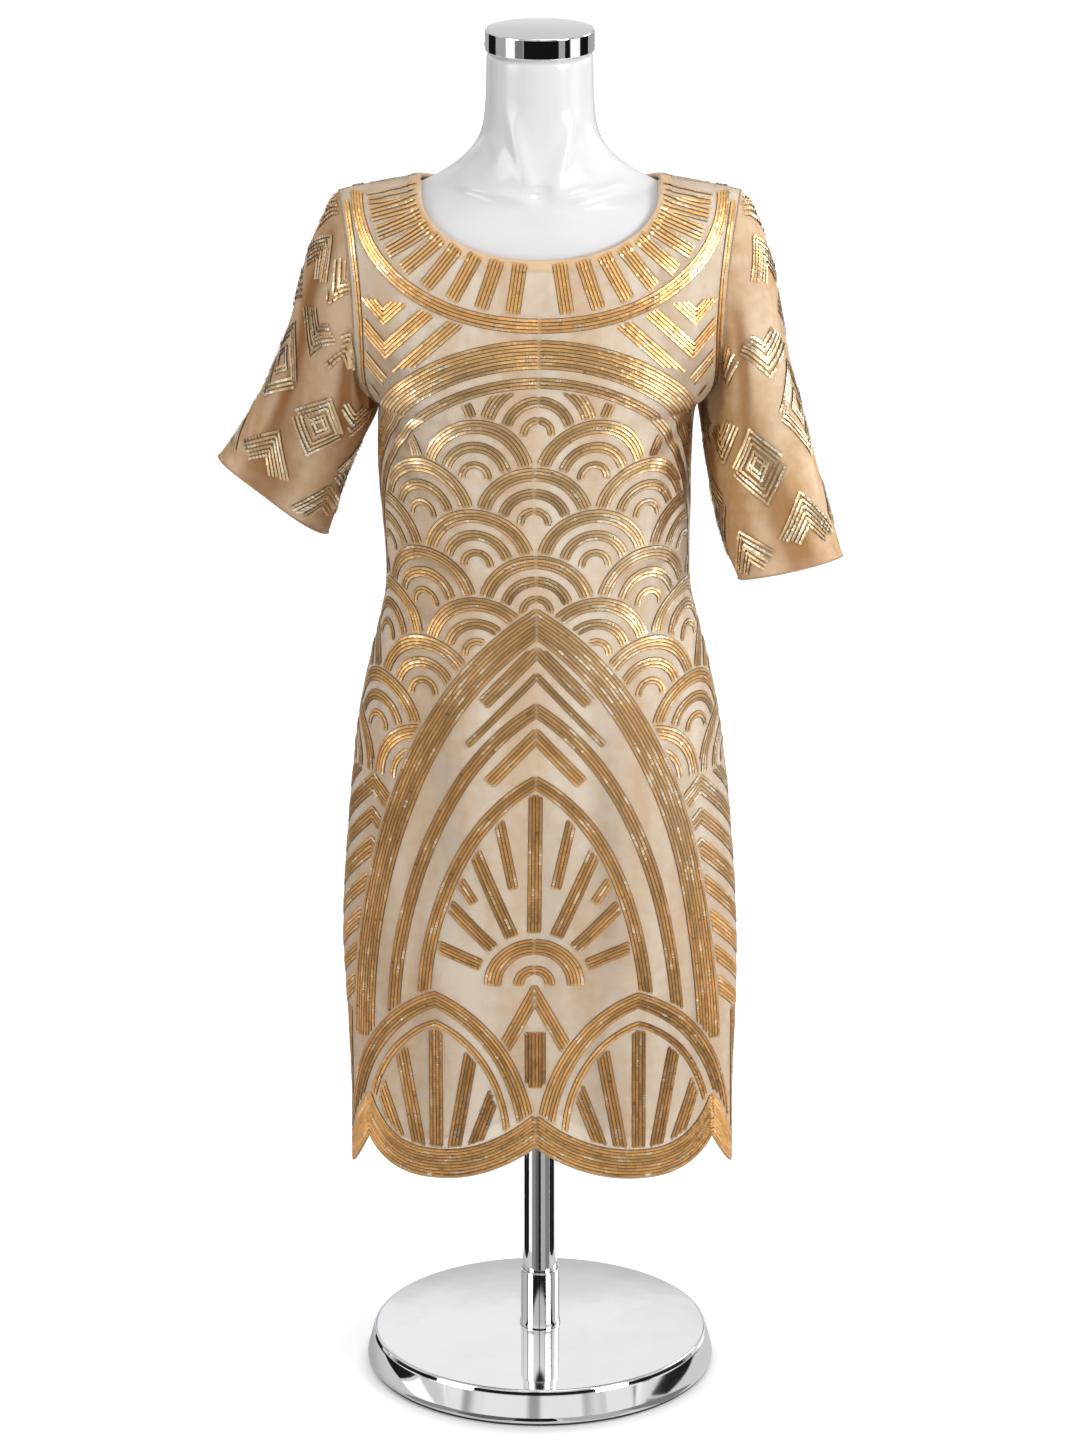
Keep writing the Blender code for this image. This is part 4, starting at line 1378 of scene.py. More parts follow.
class WorkedPanel:
    """A panel addressed by arc length from its centre line and by height, to lay sequins on."""

    def __init__(self, cut: DressCut, fall: FallOfCloth, side: Side) -> None:
        """Measure the arc length to every angle at every level, and turn the table round.

        Args:
            cut: outside shape of the dress.
            fall: how the cloth stands off that shape.
            side: front or back.
        """
        self.cut, self.fall, self.side = cut, fall, side
        self.levels = np.arange(186, 1121, 3) * MM
        self.angles = np.radians(np.linspace(-90, 90, 361))
        z = np.repeat(self.levels[:, None], len(self.angles), axis=1)
        arcs = along(cut.at_angle(np.broadcast_to(self.angles, z.shape), z, side), 1)
        middle = self.angle_column(cut.leaned(np.zeros(len(z)), self.levels))
        self.arcs = arcs - sample_grid(arcs, np.arange(len(z)), middle)[:, None]
        self.reach = np.stack([-self.arcs[:, 0], self.arcs[:, -1]], axis=1)
        self.asked = np.linspace(-0.24, 0.24, 481)
        self.table = np.array([np.interp(self.asked, row, self.angles) for row in self.arcs])

    def angle_column(self, angle: Array) -> Array:
        """Column number of an angle in the arc table."""
        return (angle - self.angles[0]) / (self.angles[1] - self.angles[0])

    def level_row(self, z: Array) -> Array:
        """Row number of a level in the tables."""
        return (z - self.levels[0]) / (self.levels[1] - self.levels[0])

    def arc_of(self, angle: Array, z: Array) -> Array:
        """Arc length from the centre line to an angle at each level."""
        return sample_grid(self.arcs, self.level_row(z), self.angle_column(angle))

    def arc_at(self, x: Array, z: Array) -> Array:
        """Arc length from the centre line to x at each level."""
        half, middle = self.cut.width(z)
        return self.arc_of(np.arcsin(np.clip((x - middle) / half, -1, 1)), z)

    def angle_at(self, arc: Array, z: Array) -> Array:
        """Angle from the middle at an arc length and a level."""
        column = (arc - self.asked[0]) / (self.asked[1] - self.asked[0])
        return sample_grid(self.table, self.level_row(z), column)

    def square(self, place: Callable, across: Array, z: Array, step: float, rise: float) -> Array:
        """Outward normal of a surface at its places, from small steps across it and up it.

        Args:
            place: function that gives the points of the surface.
            across: first coordinate of each place.
            z: level of each place.
            step: length of the small step across.
            rise: length of the small step up.

        Returns:
            The unit normals.
        """
        over = place(across + step, z) - place(across - step, z)
        up = place(across, z + rise) - place(across, z - rise)
        return unit(np.cross(over, up)) * -self.side.value

    def bare(self, angle: Array, z: Array) -> Array:
        """Points of the plain shape."""
        return self.cut.at_angle(angle, z, self.side)

    def skin(self, angle: Array, z: Array) -> Array:
        """Points on the outside of the fallen cloth, which rises over the neck strip.

        Each is its point of the plain shape plus its normal times the lift.

        Args:
            angle: angle of each place from the middle of the panel.
            z: level of each place.

        Returns:
            The points.
        """
        bare = self.bare(angle, z)
        past = self.cut.past_neck(bare[..., 0], z, self.side)
        over_strip = fade((self.cut.binding_width + 1.5 * MM - past) / (2 * MM))
        lift = self.fall.lift(bare[..., 0], z, self.side) + self.cut.binding_lift * over_strip
        limit = math.radians(89.4)
        held = np.clip(angle, -limit, limit)
        normal = self.square(self.bare, held, z, math.radians(0.5), 1.5 * MM)
        return bare + normal * lift[..., None]

    def place(self, arc: Array, z: Array) -> Array:
        """Points on the outside of the fallen cloth at an arc length and a level."""
        return self.skin(self.angle_at(arc, z), z)

    def normal(self, arc: Array, z: Array) -> Array:
        """Outward normal of the fallen cloth at an arc length and a level."""
        return self.square(self.place, arc, z, 1.2 * MM, 1.2 * MM)

    def inside(self, arc: Array, z: Array, margin: float, neck_margin: float) -> Array:
        """True where a place is on the panel, at least a margin from every edge.

        Args:
            arc: arc length of each place from the centre line.
            z: level of each place.
            margin: distance kept from the seams and the hem.
            neck_margin: distance kept from the neck edge.

        Returns:
            True or False for each place.
        """
        cut = self.cut
        limit = sample_grid(self.reach, self.level_row(z), np.where(arc > 0, 1.0, 0.0))
        angle = self.angle_at(arc, z)
        half, middle = cut.width(z)
        x = middle + half * np.sin(angle)
        column_angle = angle - (cut.leaned(angle, z) - angle)
        good = np.abs(arc) < limit - margin
        good &= z > cut.hem_level(column_angle) + margin
        good &= cut.past_neck(x, z, self.side) > neck_margin
        good &= (np.abs(x) <= cut.neck_half_width) | (z < cut.shoulder_level(x) - margin)
        armhole = cut.armhole_x(np.maximum(z, cut.underarm_z))
        return good & ((z < cut.underarm_z) | (np.abs(x) < armhole - margin))


# ------------------------------------------------------------------------- sequin patterns


@dataclass(frozen=True)
class Band:
    """Rows of sequins side by side along one path, in millimetres of arc length and height."""

    path: Array
    rows: int
    shine: float = 1.0
    first_only: bool = False
    pitch: float = 3.05


@dataclass(frozen=True)
class Motif:
    """Bands laid together, and the ground under an arch that later motifs keep out of.

    Where a roof is given, as a middle and a radius, the bands stay under that half circle.
    """

    bands: list[Band]
    arch: Array | None = None
    foot: float = 0.0
    roof: tuple[float, float, float] | None = None


def ring_arc(centre: tuple[float, float], radius: float, last: float = 0.0) -> Array:
    """Part of a circle, from its left to an angle in degrees above the horizontal."""
    angle = np.radians(np.linspace(180, last, int((180 - last) / 4) + 1))
    return centre + radius * np.stack([np.cos(angle), np.sin(angle)], axis=1)


def chevron(centre: float, level: float, half: float, height: float) -> Array:
    """A V whose point is at the level; a height below zero turns it upside down."""
    return np.array([(-half, height), (0, 0), (half, height)], float) + [centre, level]


def ray(centre: tuple[float, float], lean: float, near: float, far: float) -> Array:
    """Straight path out from a centre, between two distances, at an angle in degrees."""
    angle = math.radians(lean)
    return np.array([[near], [far]]) * [math.cos(angle), math.sin(angle)] + centre


def lancet(centre: float, base: float, half: float, height: float, lean: float) -> Array:
    """Pointed arch: each side is a circle arc centred past the middle, stretched upright.

    Args:
        centre: middle of the arch.
        base: level of its feet.
        half: distance from the middle to a foot.
        height: height of the point over the feet.
        lean: how far past the middle each arc has its centre; more gives a sharper point.

    Returns:
        The path from one foot over the point to the other.
    """
    radius = half + lean
    top = math.acos(lean / radius)
    angle = np.linspace(0, top, 25)
    rise = np.sin(angle) / math.sin(top) * height
    right = np.stack([radius * np.cos(angle) - lean, rise], axis=1)
    return np.concatenate([right, (right[::-1] * [-1, 1])[1:]]) + [centre, base]


def motif(path: Array, rows: int, shine: float = 1.0, **more: object) -> Motif:
    """A motif of one band."""
    return Motif([Band(path, rows, shine)], **more)


class DecoDesign:
    """Motifs of one panel half: hem fans, tall arches, tiers of scales, collar, chevrons."""

    def __init__(self, panel: WorkedPanel, hand: Hand) -> None:
        """Keep the panel and which half of it this is."""
        self.panel, self.hand = panel, hand

    def hem_arc(self, angle: Array) -> Array:
        """Arc length in millimetres from the centre line to columns at the hem.

        Args:
            angle: angle of each column at the underarm.

        Returns:
            The arc length, rising away from the centre line.
        """
        z = self.panel.cut.hem_level(angle)
        held = np.clip(self.panel.cut.leaned(angle, z), -math.pi / 2, math.pi / 2)
        return self.panel.arc_of(held, z) * self.hand.value / MM

    def from_cloth(self, x: Array, z: Array) -> Array:
        """Pattern places of cloth places given by distance from the centre and level."""
        arc = self.panel.arc_at(x * self.hand.value, z) * self.hand.value
        return np.stack([arc, z], axis=1) / MM

    def border(self) -> list[Motif]:
        """Nine rows that follow the scalloped edge, one above the other.

        Returns:
            One motif with a band for each row.
        """
        angle = np.radians(np.linspace(-14, 92, 160)) * self.hand.value
        held = np.clip(angle, -math.pi / 2, math.pi / 2)
        z = self.panel.cut.hem_level(held) / MM
        s = self.hem_arc(held)
        slope = np.gradient(z) / np.maximum(np.gradient(s), 0.05)
        stretch = (1 + np.clip(slope, -1.5, 1.5) ** 2) ** 0.4
        levels = [z + (2.2 + 3.05 * row) * stretch for row in range(9)]
        return [Motif([Band(np.stack([s, level], axis=1), 1, 0.98) for level in levels])]

    def hem_fans(self) -> list[Motif]:
        """A pointed crown over each scallop with ribs that spread up into it.

        Returns:
            The motifs, the ones in front first.
        """
        ends = np.radians([32.0, 90.0]) * self.hand.value
        centre, seam = self.hem_arc(ends)
        half = centre - 7
        crown = lancet(centre, 226, half, 152, 30)
        leans = [90 + 9.5 * k for k in range(-2, 3)]
        spandrel = [
            Band(chevron(0, 388, 31, -62), 4, 1.05),
            Band(ray((4.6, 294), 90, 0, 54), 3, 1.1),
            Band(ray((seam, 150), 90, 80, 200), 4),
            Band(ray((seam, 150), 103, 84, 190), 4),
        ]
        return [
            motif(crown, 5, 1.05),
            motif(lancet(centre, 236, half - 19, 118, 22), 2, 0.95),
            Motif([Band(ray((centre, 130), a, 96, 262), 4, 1.0, True) for a in leans], crown, 200),
            Motif(spandrel),
        ]

    def lotus(self) -> list[Motif]:
        """Nested pointed arches up the skirt, filled with a bloom of rays over half discs.

        Returns:
            The motifs, the ones in front first.
        """
        heart = (0.0, 398.0)
        outer = lancet(0, 330, 163, 410, 92)
        middle = lancet(0, 330, 131, 330, 70)
        inner = lancet(0, 352, 102, 240, 46)
        petals = [Band(ray(heart, lean, 52, 210), 4, 1.0, True) for lean in (90, 67, 44, 21)]
        between = [Band(ray(heart, lean, 96, 210), 3, 1.05, True) for lean in (78.5, 55.5)]
        return [
            motif(ring_arc(heart, 14), 3, 1.15),
            motif(ring_arc(heart, 37), 5, 1.05),
            motif(outer, 8, 1.02),
            motif(middle, 4),
            motif(inner, 4, 1.05),
            Motif(petals),
            Motif(between, inner, 300),
            motif(chevron(0, 636, 40, -44), 4, 1.1, arch=middle, foot=300),
            motif(chevron(0, 716, 46, -50), 4, 1.1),
            motif(chevron(0, 692, 60, -66), 2, arch=outer, foot=300),
        ]

    def scales(self) -> list[Motif]:
        """Overlapping fans in staggered tiers up to the bust, under a great double arc.

        Returns:
            The motifs, the lowest tier first.
        """
        heart = (0.0, 786.0)
        motifs = [motif(ring_arc(heart, 197, -8), 8, 1.1), motif(ring_arc(heart, 173, -8), 3, 1.05)]
        for tier in range(9):
            level = 587 + tier * 41.0
            for centre in np.arange(52.0 * (tier % 2), 240, 104):
                sizes = ((46, 4, 1.06), (28, 3, 0.98), (12, 2, 1.12))
                bands = [Band(ring_arc((centre, level), r), n, shine) for r, n, shine in sizes]
                arch = ring_arc((centre, level), 54)
                motifs.append(Motif(bands, arch, level, (*heart, 190.0)))
        return motifs

    def collar(self) -> list[Motif]:
        """Short rays out from the neck edge, with an arc under their ends.

        Returns:
            The arc, then the rays.
        """
        cut, side = self.panel.cut, self.panel.side
        half = self.from_cloth(*cut.neck_curve(np.linspace(0, 0.985, 60), side, 54 * MM))
        whole = np.concatenate([(half * [-1, 1])[:0:-1][-6:], half])
        spreads = np.linspace(4, 43, 5) * MM
        rays = []
        for share in (0.10, 0.22, 0.34, 0.46, 0.58, 0.69, 0.79, 0.885, 0.965):
            path = self.from_cloth(*cut.neck_curve(np.full(5, share), side, spreads))
            rays.append(Band(path, 4, 1.15))
        return [motif(whole, 4, 1.1), Motif(rays, whole, 1020)]

    def armhole_rows(self) -> list[Motif]:
        """Two rows that follow the armhole seam."""
        z = np.linspace(926, 1096, 60) * MM
        return [motif(self.from_cloth(self.panel.cut.armhole_x(z) - 5.2 * MM, z), 2, 1.2)]

    def chevrons(self) -> list[Motif]:
        """Stacked chevrons that fill what is left at the shoulders and the sides.

        Returns:
            One motif for each chevron.
        """
        upper = [chevron(140, level, 70, 62) for level in np.arange(1068, 869, -30.0)]
        lower = [chevron(157, level, 76, -64) for level in np.arange(606, 372, -30.0)]
        sides = [motif(path, 4 + number % 2) for number, path in enumerate(lower)]
        return [motif(path, 4, 1.1) for path in upper] + sides

    def motifs(self) -> list[Motif]:
        """All motifs, the ones in front first."""
        motifs = self.border() + self.armhole_rows() + self.hem_fans() + self.lotus()
        return motifs + self.scales() + self.collar() + self.chevrons()


class SequinLayout:
    """Rows of sequin places on one half of a panel, with each motif kept clear of the last.

    What is taken is kept on a grid of square millimetres, up from the level of its foot.
    """

    test_step: float = 0.6
    clear: float = 4.6
    shortest: float = 9.0
    foot: int = 180
    edge_margin: float = 2.2 * MM
    neck_margin: float = 3.2 * MM

    def __init__(self, panel: WorkedPanel, hand: Hand) -> None:
        """Start with nothing laid.

        Args:
            panel: the panel to work on.
            hand: which half of it.
        """
        self.panel, self.hand = panel, hand
        self.taken = np.zeros((960, 262), bool)
        self.rows: list[tuple[Array, float, int]] = []
        self.motifs_laid = 0

    def cells(self, path: Array) -> tuple[Array, Array]:
        """Cell numbers of pattern places."""
        cells = np.round(path[:, ::-1] - [self.foot, 0]).astype(int)
        return tuple(np.clip(cells, 0, np.array(self.taken.shape) - 1).T)

    def lay(self, motif: Motif) -> None:
        """Lay one motif where the panel is free, then mark what it takes.

        Each row keeps a number for its look, which is the same on both halves of a panel.

        Args:
            motif: the motif to lay.
        """
        laid = []
        self.motifs_laid += 1
        for number, band in enumerate(motif.bands):
            look = 200 * self.motifs_laid + 10 * number
            for row in range(band.rows):
                offset = (row - (band.rows - 1) / 2) * band.pitch
                path = even_steps(beside(band.path, offset), self.test_step)
                if motif.roof is not None:
                    middle, radius = motif.roof[:2], motif.roof[2]
                    low = path[:, 1] < middle[1]
                    path = path[low | (np.hypot(*(path - middle).T) < radius)]
                pieces = self.free_pieces(path)
                for piece in pieces[:1] if band.first_only else pieces:
                    laid.append(piece)
                    self.rows.append((piece, band.shine, look + row))
        if laid:
            self.mark(np.concatenate(laid))
        if motif.arch is not None:
            self.claim(motif.arch, motif.foot)

    def free_pieces(self, path: Array) -> list[Array]:
        """The stretches of a path that lie on the panel and on free cells.

        Args:
            path: places in millimetres of arc length and height.

        Returns:
            The stretches that are long enough to sew.
        """
        arc = path[:, 0] * MM * self.hand.value
        z = path[:, 1] * MM
        good = self.panel.inside(arc, z, self.edge_margin, self.neck_margin)
        good &= (path[:, 0] > 1.3) & ~self.taken[self.cells(path)]
        pieces = [path[span] for span in stretches(good)]
        return [piece for piece in pieces if (len(piece) - 1) * self.test_step > self.shortest]

    def claim(self, arch: Array, foot: float) -> None:
        """Mark every cell between a level and an arch over it.

        Args:
            arch: the arch's path.
            foot: the lowest level that it takes.
        """
        height, width = self.taken.shape
        arch = arch[np.argsort(arch[:, 0], kind="stable")]
        top = np.interp(np.arange(width), arch[:, 0], arch[:, 1], left=-1, right=-1)
        level = self.foot + np.arange(height)[:, None]
        self.taken |= (level > foot) & (level < top)

    def mark(self, places: Array) -> None:
        """Mark every cell within the clear distance of the places.

        Args:
            places: places of the rows just laid.
        """
        spot = np.zeros_like(self.taken)
        spot[self.cells(places)] = True
        reach = range(-math.ceil(self.clear), math.ceil(self.clear) + 1)
        for shift in itertools.product(reach, reach):
            if math.hypot(*shift) <= self.clear:
                self.taken |= np.roll(spot, shift, axis=(0, 1))


@dataclass(frozen=True)
class SequinCut:
    """Size of one sequin and how the sequins of a row lie."""

    length: float
    width: float
    step: float
    cup: float
    corner_power: float
    thread: float
    lift: float = 0.75 * MM
    overlap_deg: float = 6.0
    wobble_deg: float = 2.2
    sides: int = 8

    def outline(self) -> Array:
        """Rounded outline of half-unit size: a superellipse ring.

        Returns:
            Two coordinates for each corner.
        """
        angle = 2 * math.pi * (np.arange(self.sides) + 0.5) / self.sides
        ring = np.stack([np.cos(angle), np.sin(angle)], axis=1)
        return np.sign(ring) * np.abs(ring) ** (2 / self.corner_power) / 2


BODY_SEQUIN = SequinCut(3.6 * MM, 2.5 * MM, 2.7 * MM, 0.12 * MM, 3.4, 3.5 * MM)
SLEEVE_SEQUIN = SequinCut(4.3 * MM, 2.5 * MM, 3.6 * MM, 0.12 * MM, 4.5, 2.9 * MM, lift=1.2 * MM)
# Colour of the sequins by level in millimetres: level, red, green, blue. The hue changes with
# the level, and the brightness is painted higher or lower by level, for how the same sequins
# catch the light at each height.
SEQUIN_COLOURS_AND_LIGHT = (
    (190, 0.95, 0.525, 0.200),
    (300, 0.93, 0.515, 0.195),
    (400, 0.73, 0.400, 0.152),
    (560, 0.61, 0.335, 0.124),
    (700, 0.64, 0.370, 0.145),
    (850, 0.65, 0.415, 0.190),
    (950, 0.69, 0.445, 0.210),
    (1010, 0.95, 0.540, 0.212),
    (1080, 0.90, 0.510, 0.192),
    (1110, 0.88, 0.515, 0.205),
)
# Places where the sequins catch the light: x and z in millimetres, reach, strength.
SHEEN_PLACES = (
    (116, 790, 92, 1.0),
    (150, 900, 62, 0.8),
    (128, 1062, 46, 0.4),
    (-98, 905, 50, 0.5),
    (62, 700, 60, 0.6),
    (-60, 700, 40, 0.3),
    (-120, 1070, 36, 0.4),
    (158, 580, 84, 0.75),
)
# Colour that the painted glints and highlights blend towards.
PAINTED_GLINT_COLOUR = (1.0, 0.88, 0.66)


@dataclass(frozen=True)
class SequinWearAndGlints:
    """How the tones and polish of the sequins vary at random, and where painted highlights fall:
    swells along the rows, a slow sheen drift and glint streaks; lengths are in millimetres,
    spreads are shares.
    """

    step: float = 2.7
    long_swell: float = 17.3
    short_swell: float = 6.1
    short_share: float = 0.8
    swell_gain: float = 0.11
    row_spread: float = 0.11
    grain_spread: float = 0.045
    dark_share: float = 0.008
    dark_tone: float = 0.66
    painted_sheen_gain: float = 0.10
    streak_start: float = 1.15
    streak_width: float = 0.5
    glint_polish: float = 0.1


@dataclass
class SequinRun:
    """Places and tones of many sequins, row after row, and the strip of thread under each row.

    Shine is the brightness of each sequin's band; looks number the rows that look alike;
    silver is how far the sequins lean to the pale colour of a painted glint, and how much more
    often they glint, from 0 to 1.
    """

    cut: SequinCut
    centres: Array
    normals: Array
    starts: Array
    shine: Array
    looks: Array
    chance: np.random.Generator
    silver: float = 0.0
    wear_and_glints: SequinWearAndGlints = SequinWearAndGlints()

    def __post_init__(self) -> None:
        """Work out directions and spacing from the neighbours in each row."""
        same = self.starts[1:] == self.starts[:-1]
        self.joined, self.follows = np.append(same, False), np.insert(same, 0, False)
        ahead = np.where(self.joined[:, None], np.roll(self.centres, -1, axis=0), self.centres)
        behind = np.where(self.follows[:, None], np.roll(self.centres, 1, axis=0), self.centres)
        self.steps = unit(ahead - behind)
        gaps = np.linalg.norm(ahead - behind, axis=1)
        self.spacing = gaps / np.maximum(self.joined.astype(int) + self.follows, 1)
        self.side = unit(np.cross(self.normals, self.steps))

    def tones(self) -> Array:
        """Colour and polish of each sequin: its level's colour with random spread, and painted
        highlights from swells along the row, sheen places, a slow sheen drift and glints.

        Returns:
            Red, green, blue and polish for each sequin, from 0 to 1.
        """
        chance, looks, wear_and_glints, count = self.chance, self.looks, self.wear_and_glints, len(self.centres)
        x, _, z = self.centres.T / MM
        rows = np.array(SEQUIN_COLOURS_AND_LIGHT)
        colour = at_distance(z, rows[:, 0], rows[:, 1:])
        looks_made = looks.max() + 1
        phase = chance.uniform(0, 2 * math.pi, (looks_made, 2))[looks]
        first = np.flatnonzero(~self.follows)
        place = (np.arange(count) - first[np.cumsum(~self.follows) - 1]) * wear_and_glints.step
        swell = np.sin(place / wear_and_glints.long_swell + phase[:, 0])
        swell = swell + wear_and_glints.short_share * np.sin(place / wear_and_glints.short_swell + phase[:, 1])
        row_tone = chance.normal(1, wear_and_glints.row_spread, looks_made)[looks]
        grain = chance.normal(1, wear_and_glints.grain_spread, count)
        dark = np.where(chance.random(count) < wear_and_glints.dark_share, wear_and_glints.dark_tone, 1.0)
        # Painted sheen: slow waves of brightness across the panel.
        painted_sheen_drift = 1 + wear_and_glints.painted_sheen_gain * np.sin(x / 23 + z / 57 + 0.6) * np.sin(z / 41 - x / 90)
        # Painted highlights at the sheen places, and on the pale sleeve sequins.
        sheen = np.full(count, 0.8 * self.silver)
        for at_x, at_z, reach, strength in SHEEN_PLACES:
            distance = np.hypot(x - at_x, z - at_z) / reach
            sheen = np.maximum(sheen, strength * np.exp(-(distance**2)))
        gain = (1 + wear_and_glints.swell_gain * swell) * row_tone * grain * self.shine * dark * painted_sheen_drift
        colour = colour * gain[:, None]
        colour = colour / np.maximum(colour.max(axis=1, keepdims=True), 1)
        # Painted glints: short runs turned towards the glint colour where the swells and the sheen
        # are high.
        streak = fade((swell - wear_and_glints.streak_start + 1.1 * sheen) / wear_and_glints.streak_width)
        glint = chance.random(count) < streak * (0.55 + 0.3 * sheen)
        pale = 0.30 * sheen + 0.22 * streak
        share = np.where(glint, pale + chance.uniform(0.15, 0.55, count), pale)[:, None]
        colour = np.clip(colour * (1 - share) + np.array(PAINTED_GLINT_COLOUR) * share, 0.02, 1)
        worn = chance.uniform(0.4, 1.0, looks_made)[looks]
        polish = np.where(glint, wear_and_glints.glint_polish, worn)
        return np.concatenate([colour, polish[:, None]], axis=1)

    def sew(self, name: str, material: Material) -> Thing:
        """One mesh of cupped sequins.

        Every sequin is an outline stretched along its row, tipped so that it overlaps the next,
        turned a little at random, with its middle pressed in.

        Args:
            name: the piece's name.
            material: the sequins' finish.

        Returns:
            The new object.
        """
        cut, count, sides = self.cut, len(self.centres), self.cut.sides
        tone = np.repeat(self.tones(), sides + 1, axis=0)
        wobble = np.radians(self.chance.normal(0, cut.wobble_deg, (count, 3)))
        yaw, pitch, roll = (column[:, None] for column in wobble.T)
        pitch = pitch + math.radians(cut.overlap_deg)
        forward = unit(unit(np.cross(self.side, self.normals)) + self.side * yaw * 0.8)
        side = unit(np.cross(self.normals, forward))
        long_way = unit(forward * np.cos(pitch) + self.normals * np.sin(pitch))
        wide_way = unit(side * np.cos(roll) + self.normals * np.sin(roll))
        pressed = unit(np.cross(long_way, wide_way)) * cut.cup
        length = self.spacing * cut.length / cut.step
        length = np.clip(length, cut.length * 0.8, cut.length * 1.5)[:, None, None]
        ring = cut.outline()
        middle = (self.centres + self.normals * cut.lift)[:, None]
        corners = middle + ring[:, :1] * long_way[:, None] * length
        corners = corners + ring[:, 1:] * wide_way[:, None] * cut.width
        points = np.concatenate([corners, middle - pressed[:, None]], axis=1)
        i = np.arange(sides)
        fan = np.stack([i, (i + 1) % sides, np.full(sides, sides)], axis=1)
        faces = (np.arange(count)[:, None, None] * (sides + 1) + fan).reshape(-1, 3)
        points = points.reshape(-1, 3)
        return put_mesh(name, points, [faces], material, tone=tone, smooth=False)

    def thread(self, name: str, material: Material, slot: str) -> Thing:
        """Strip of couched thread under each row: two edges at half a width from the row's places.
        It is dark and wider than the sequins, so its edges paint the shadow between the rows and
        beside the bands.

        Args:
            name: the piece's name.
            material: the thread's finish.
            slot: not used.

        Returns:
            The new object.
        """
        low = self.centres + self.normals * self.cut.lift * 0.3
        half = self.side * self.cut.thread / 2
        points = np.stack([low - half, low + half], axis=1).reshape(-1, 3)
        k = 2 * np.flatnonzero(self.joined)
        faces = np.stack([k, k + 2, k + 3, k + 1], axis=1)
        return put_mesh(name, points, [faces], material, smooth=False)

    def make(self, word: str, finishes: Finishes, gold: Material, slot: str) -> list[Thing]:
        """The sequins and the thread, named after their cloth.

        Args:
            word: word for the cloth they are sewn on.
            finishes: the finishes, for the thread.
            gold: the sequins' finish.
            slot: handed on to the thread strip, which does not use it.

        Returns:
            The sequins, then the thread.
        """
        LOG.info("%s: %d sequins in %d rows", word, len(self.centres), self.starts[-1] + 1)
        sequins = self.sew(f"{word}_sequins", gold)
        return [sequins, self.thread(f"{word}_couching", finishes.sewing_and_shadow, slot)]


# ------------------------------------------------------------------------------ the garment


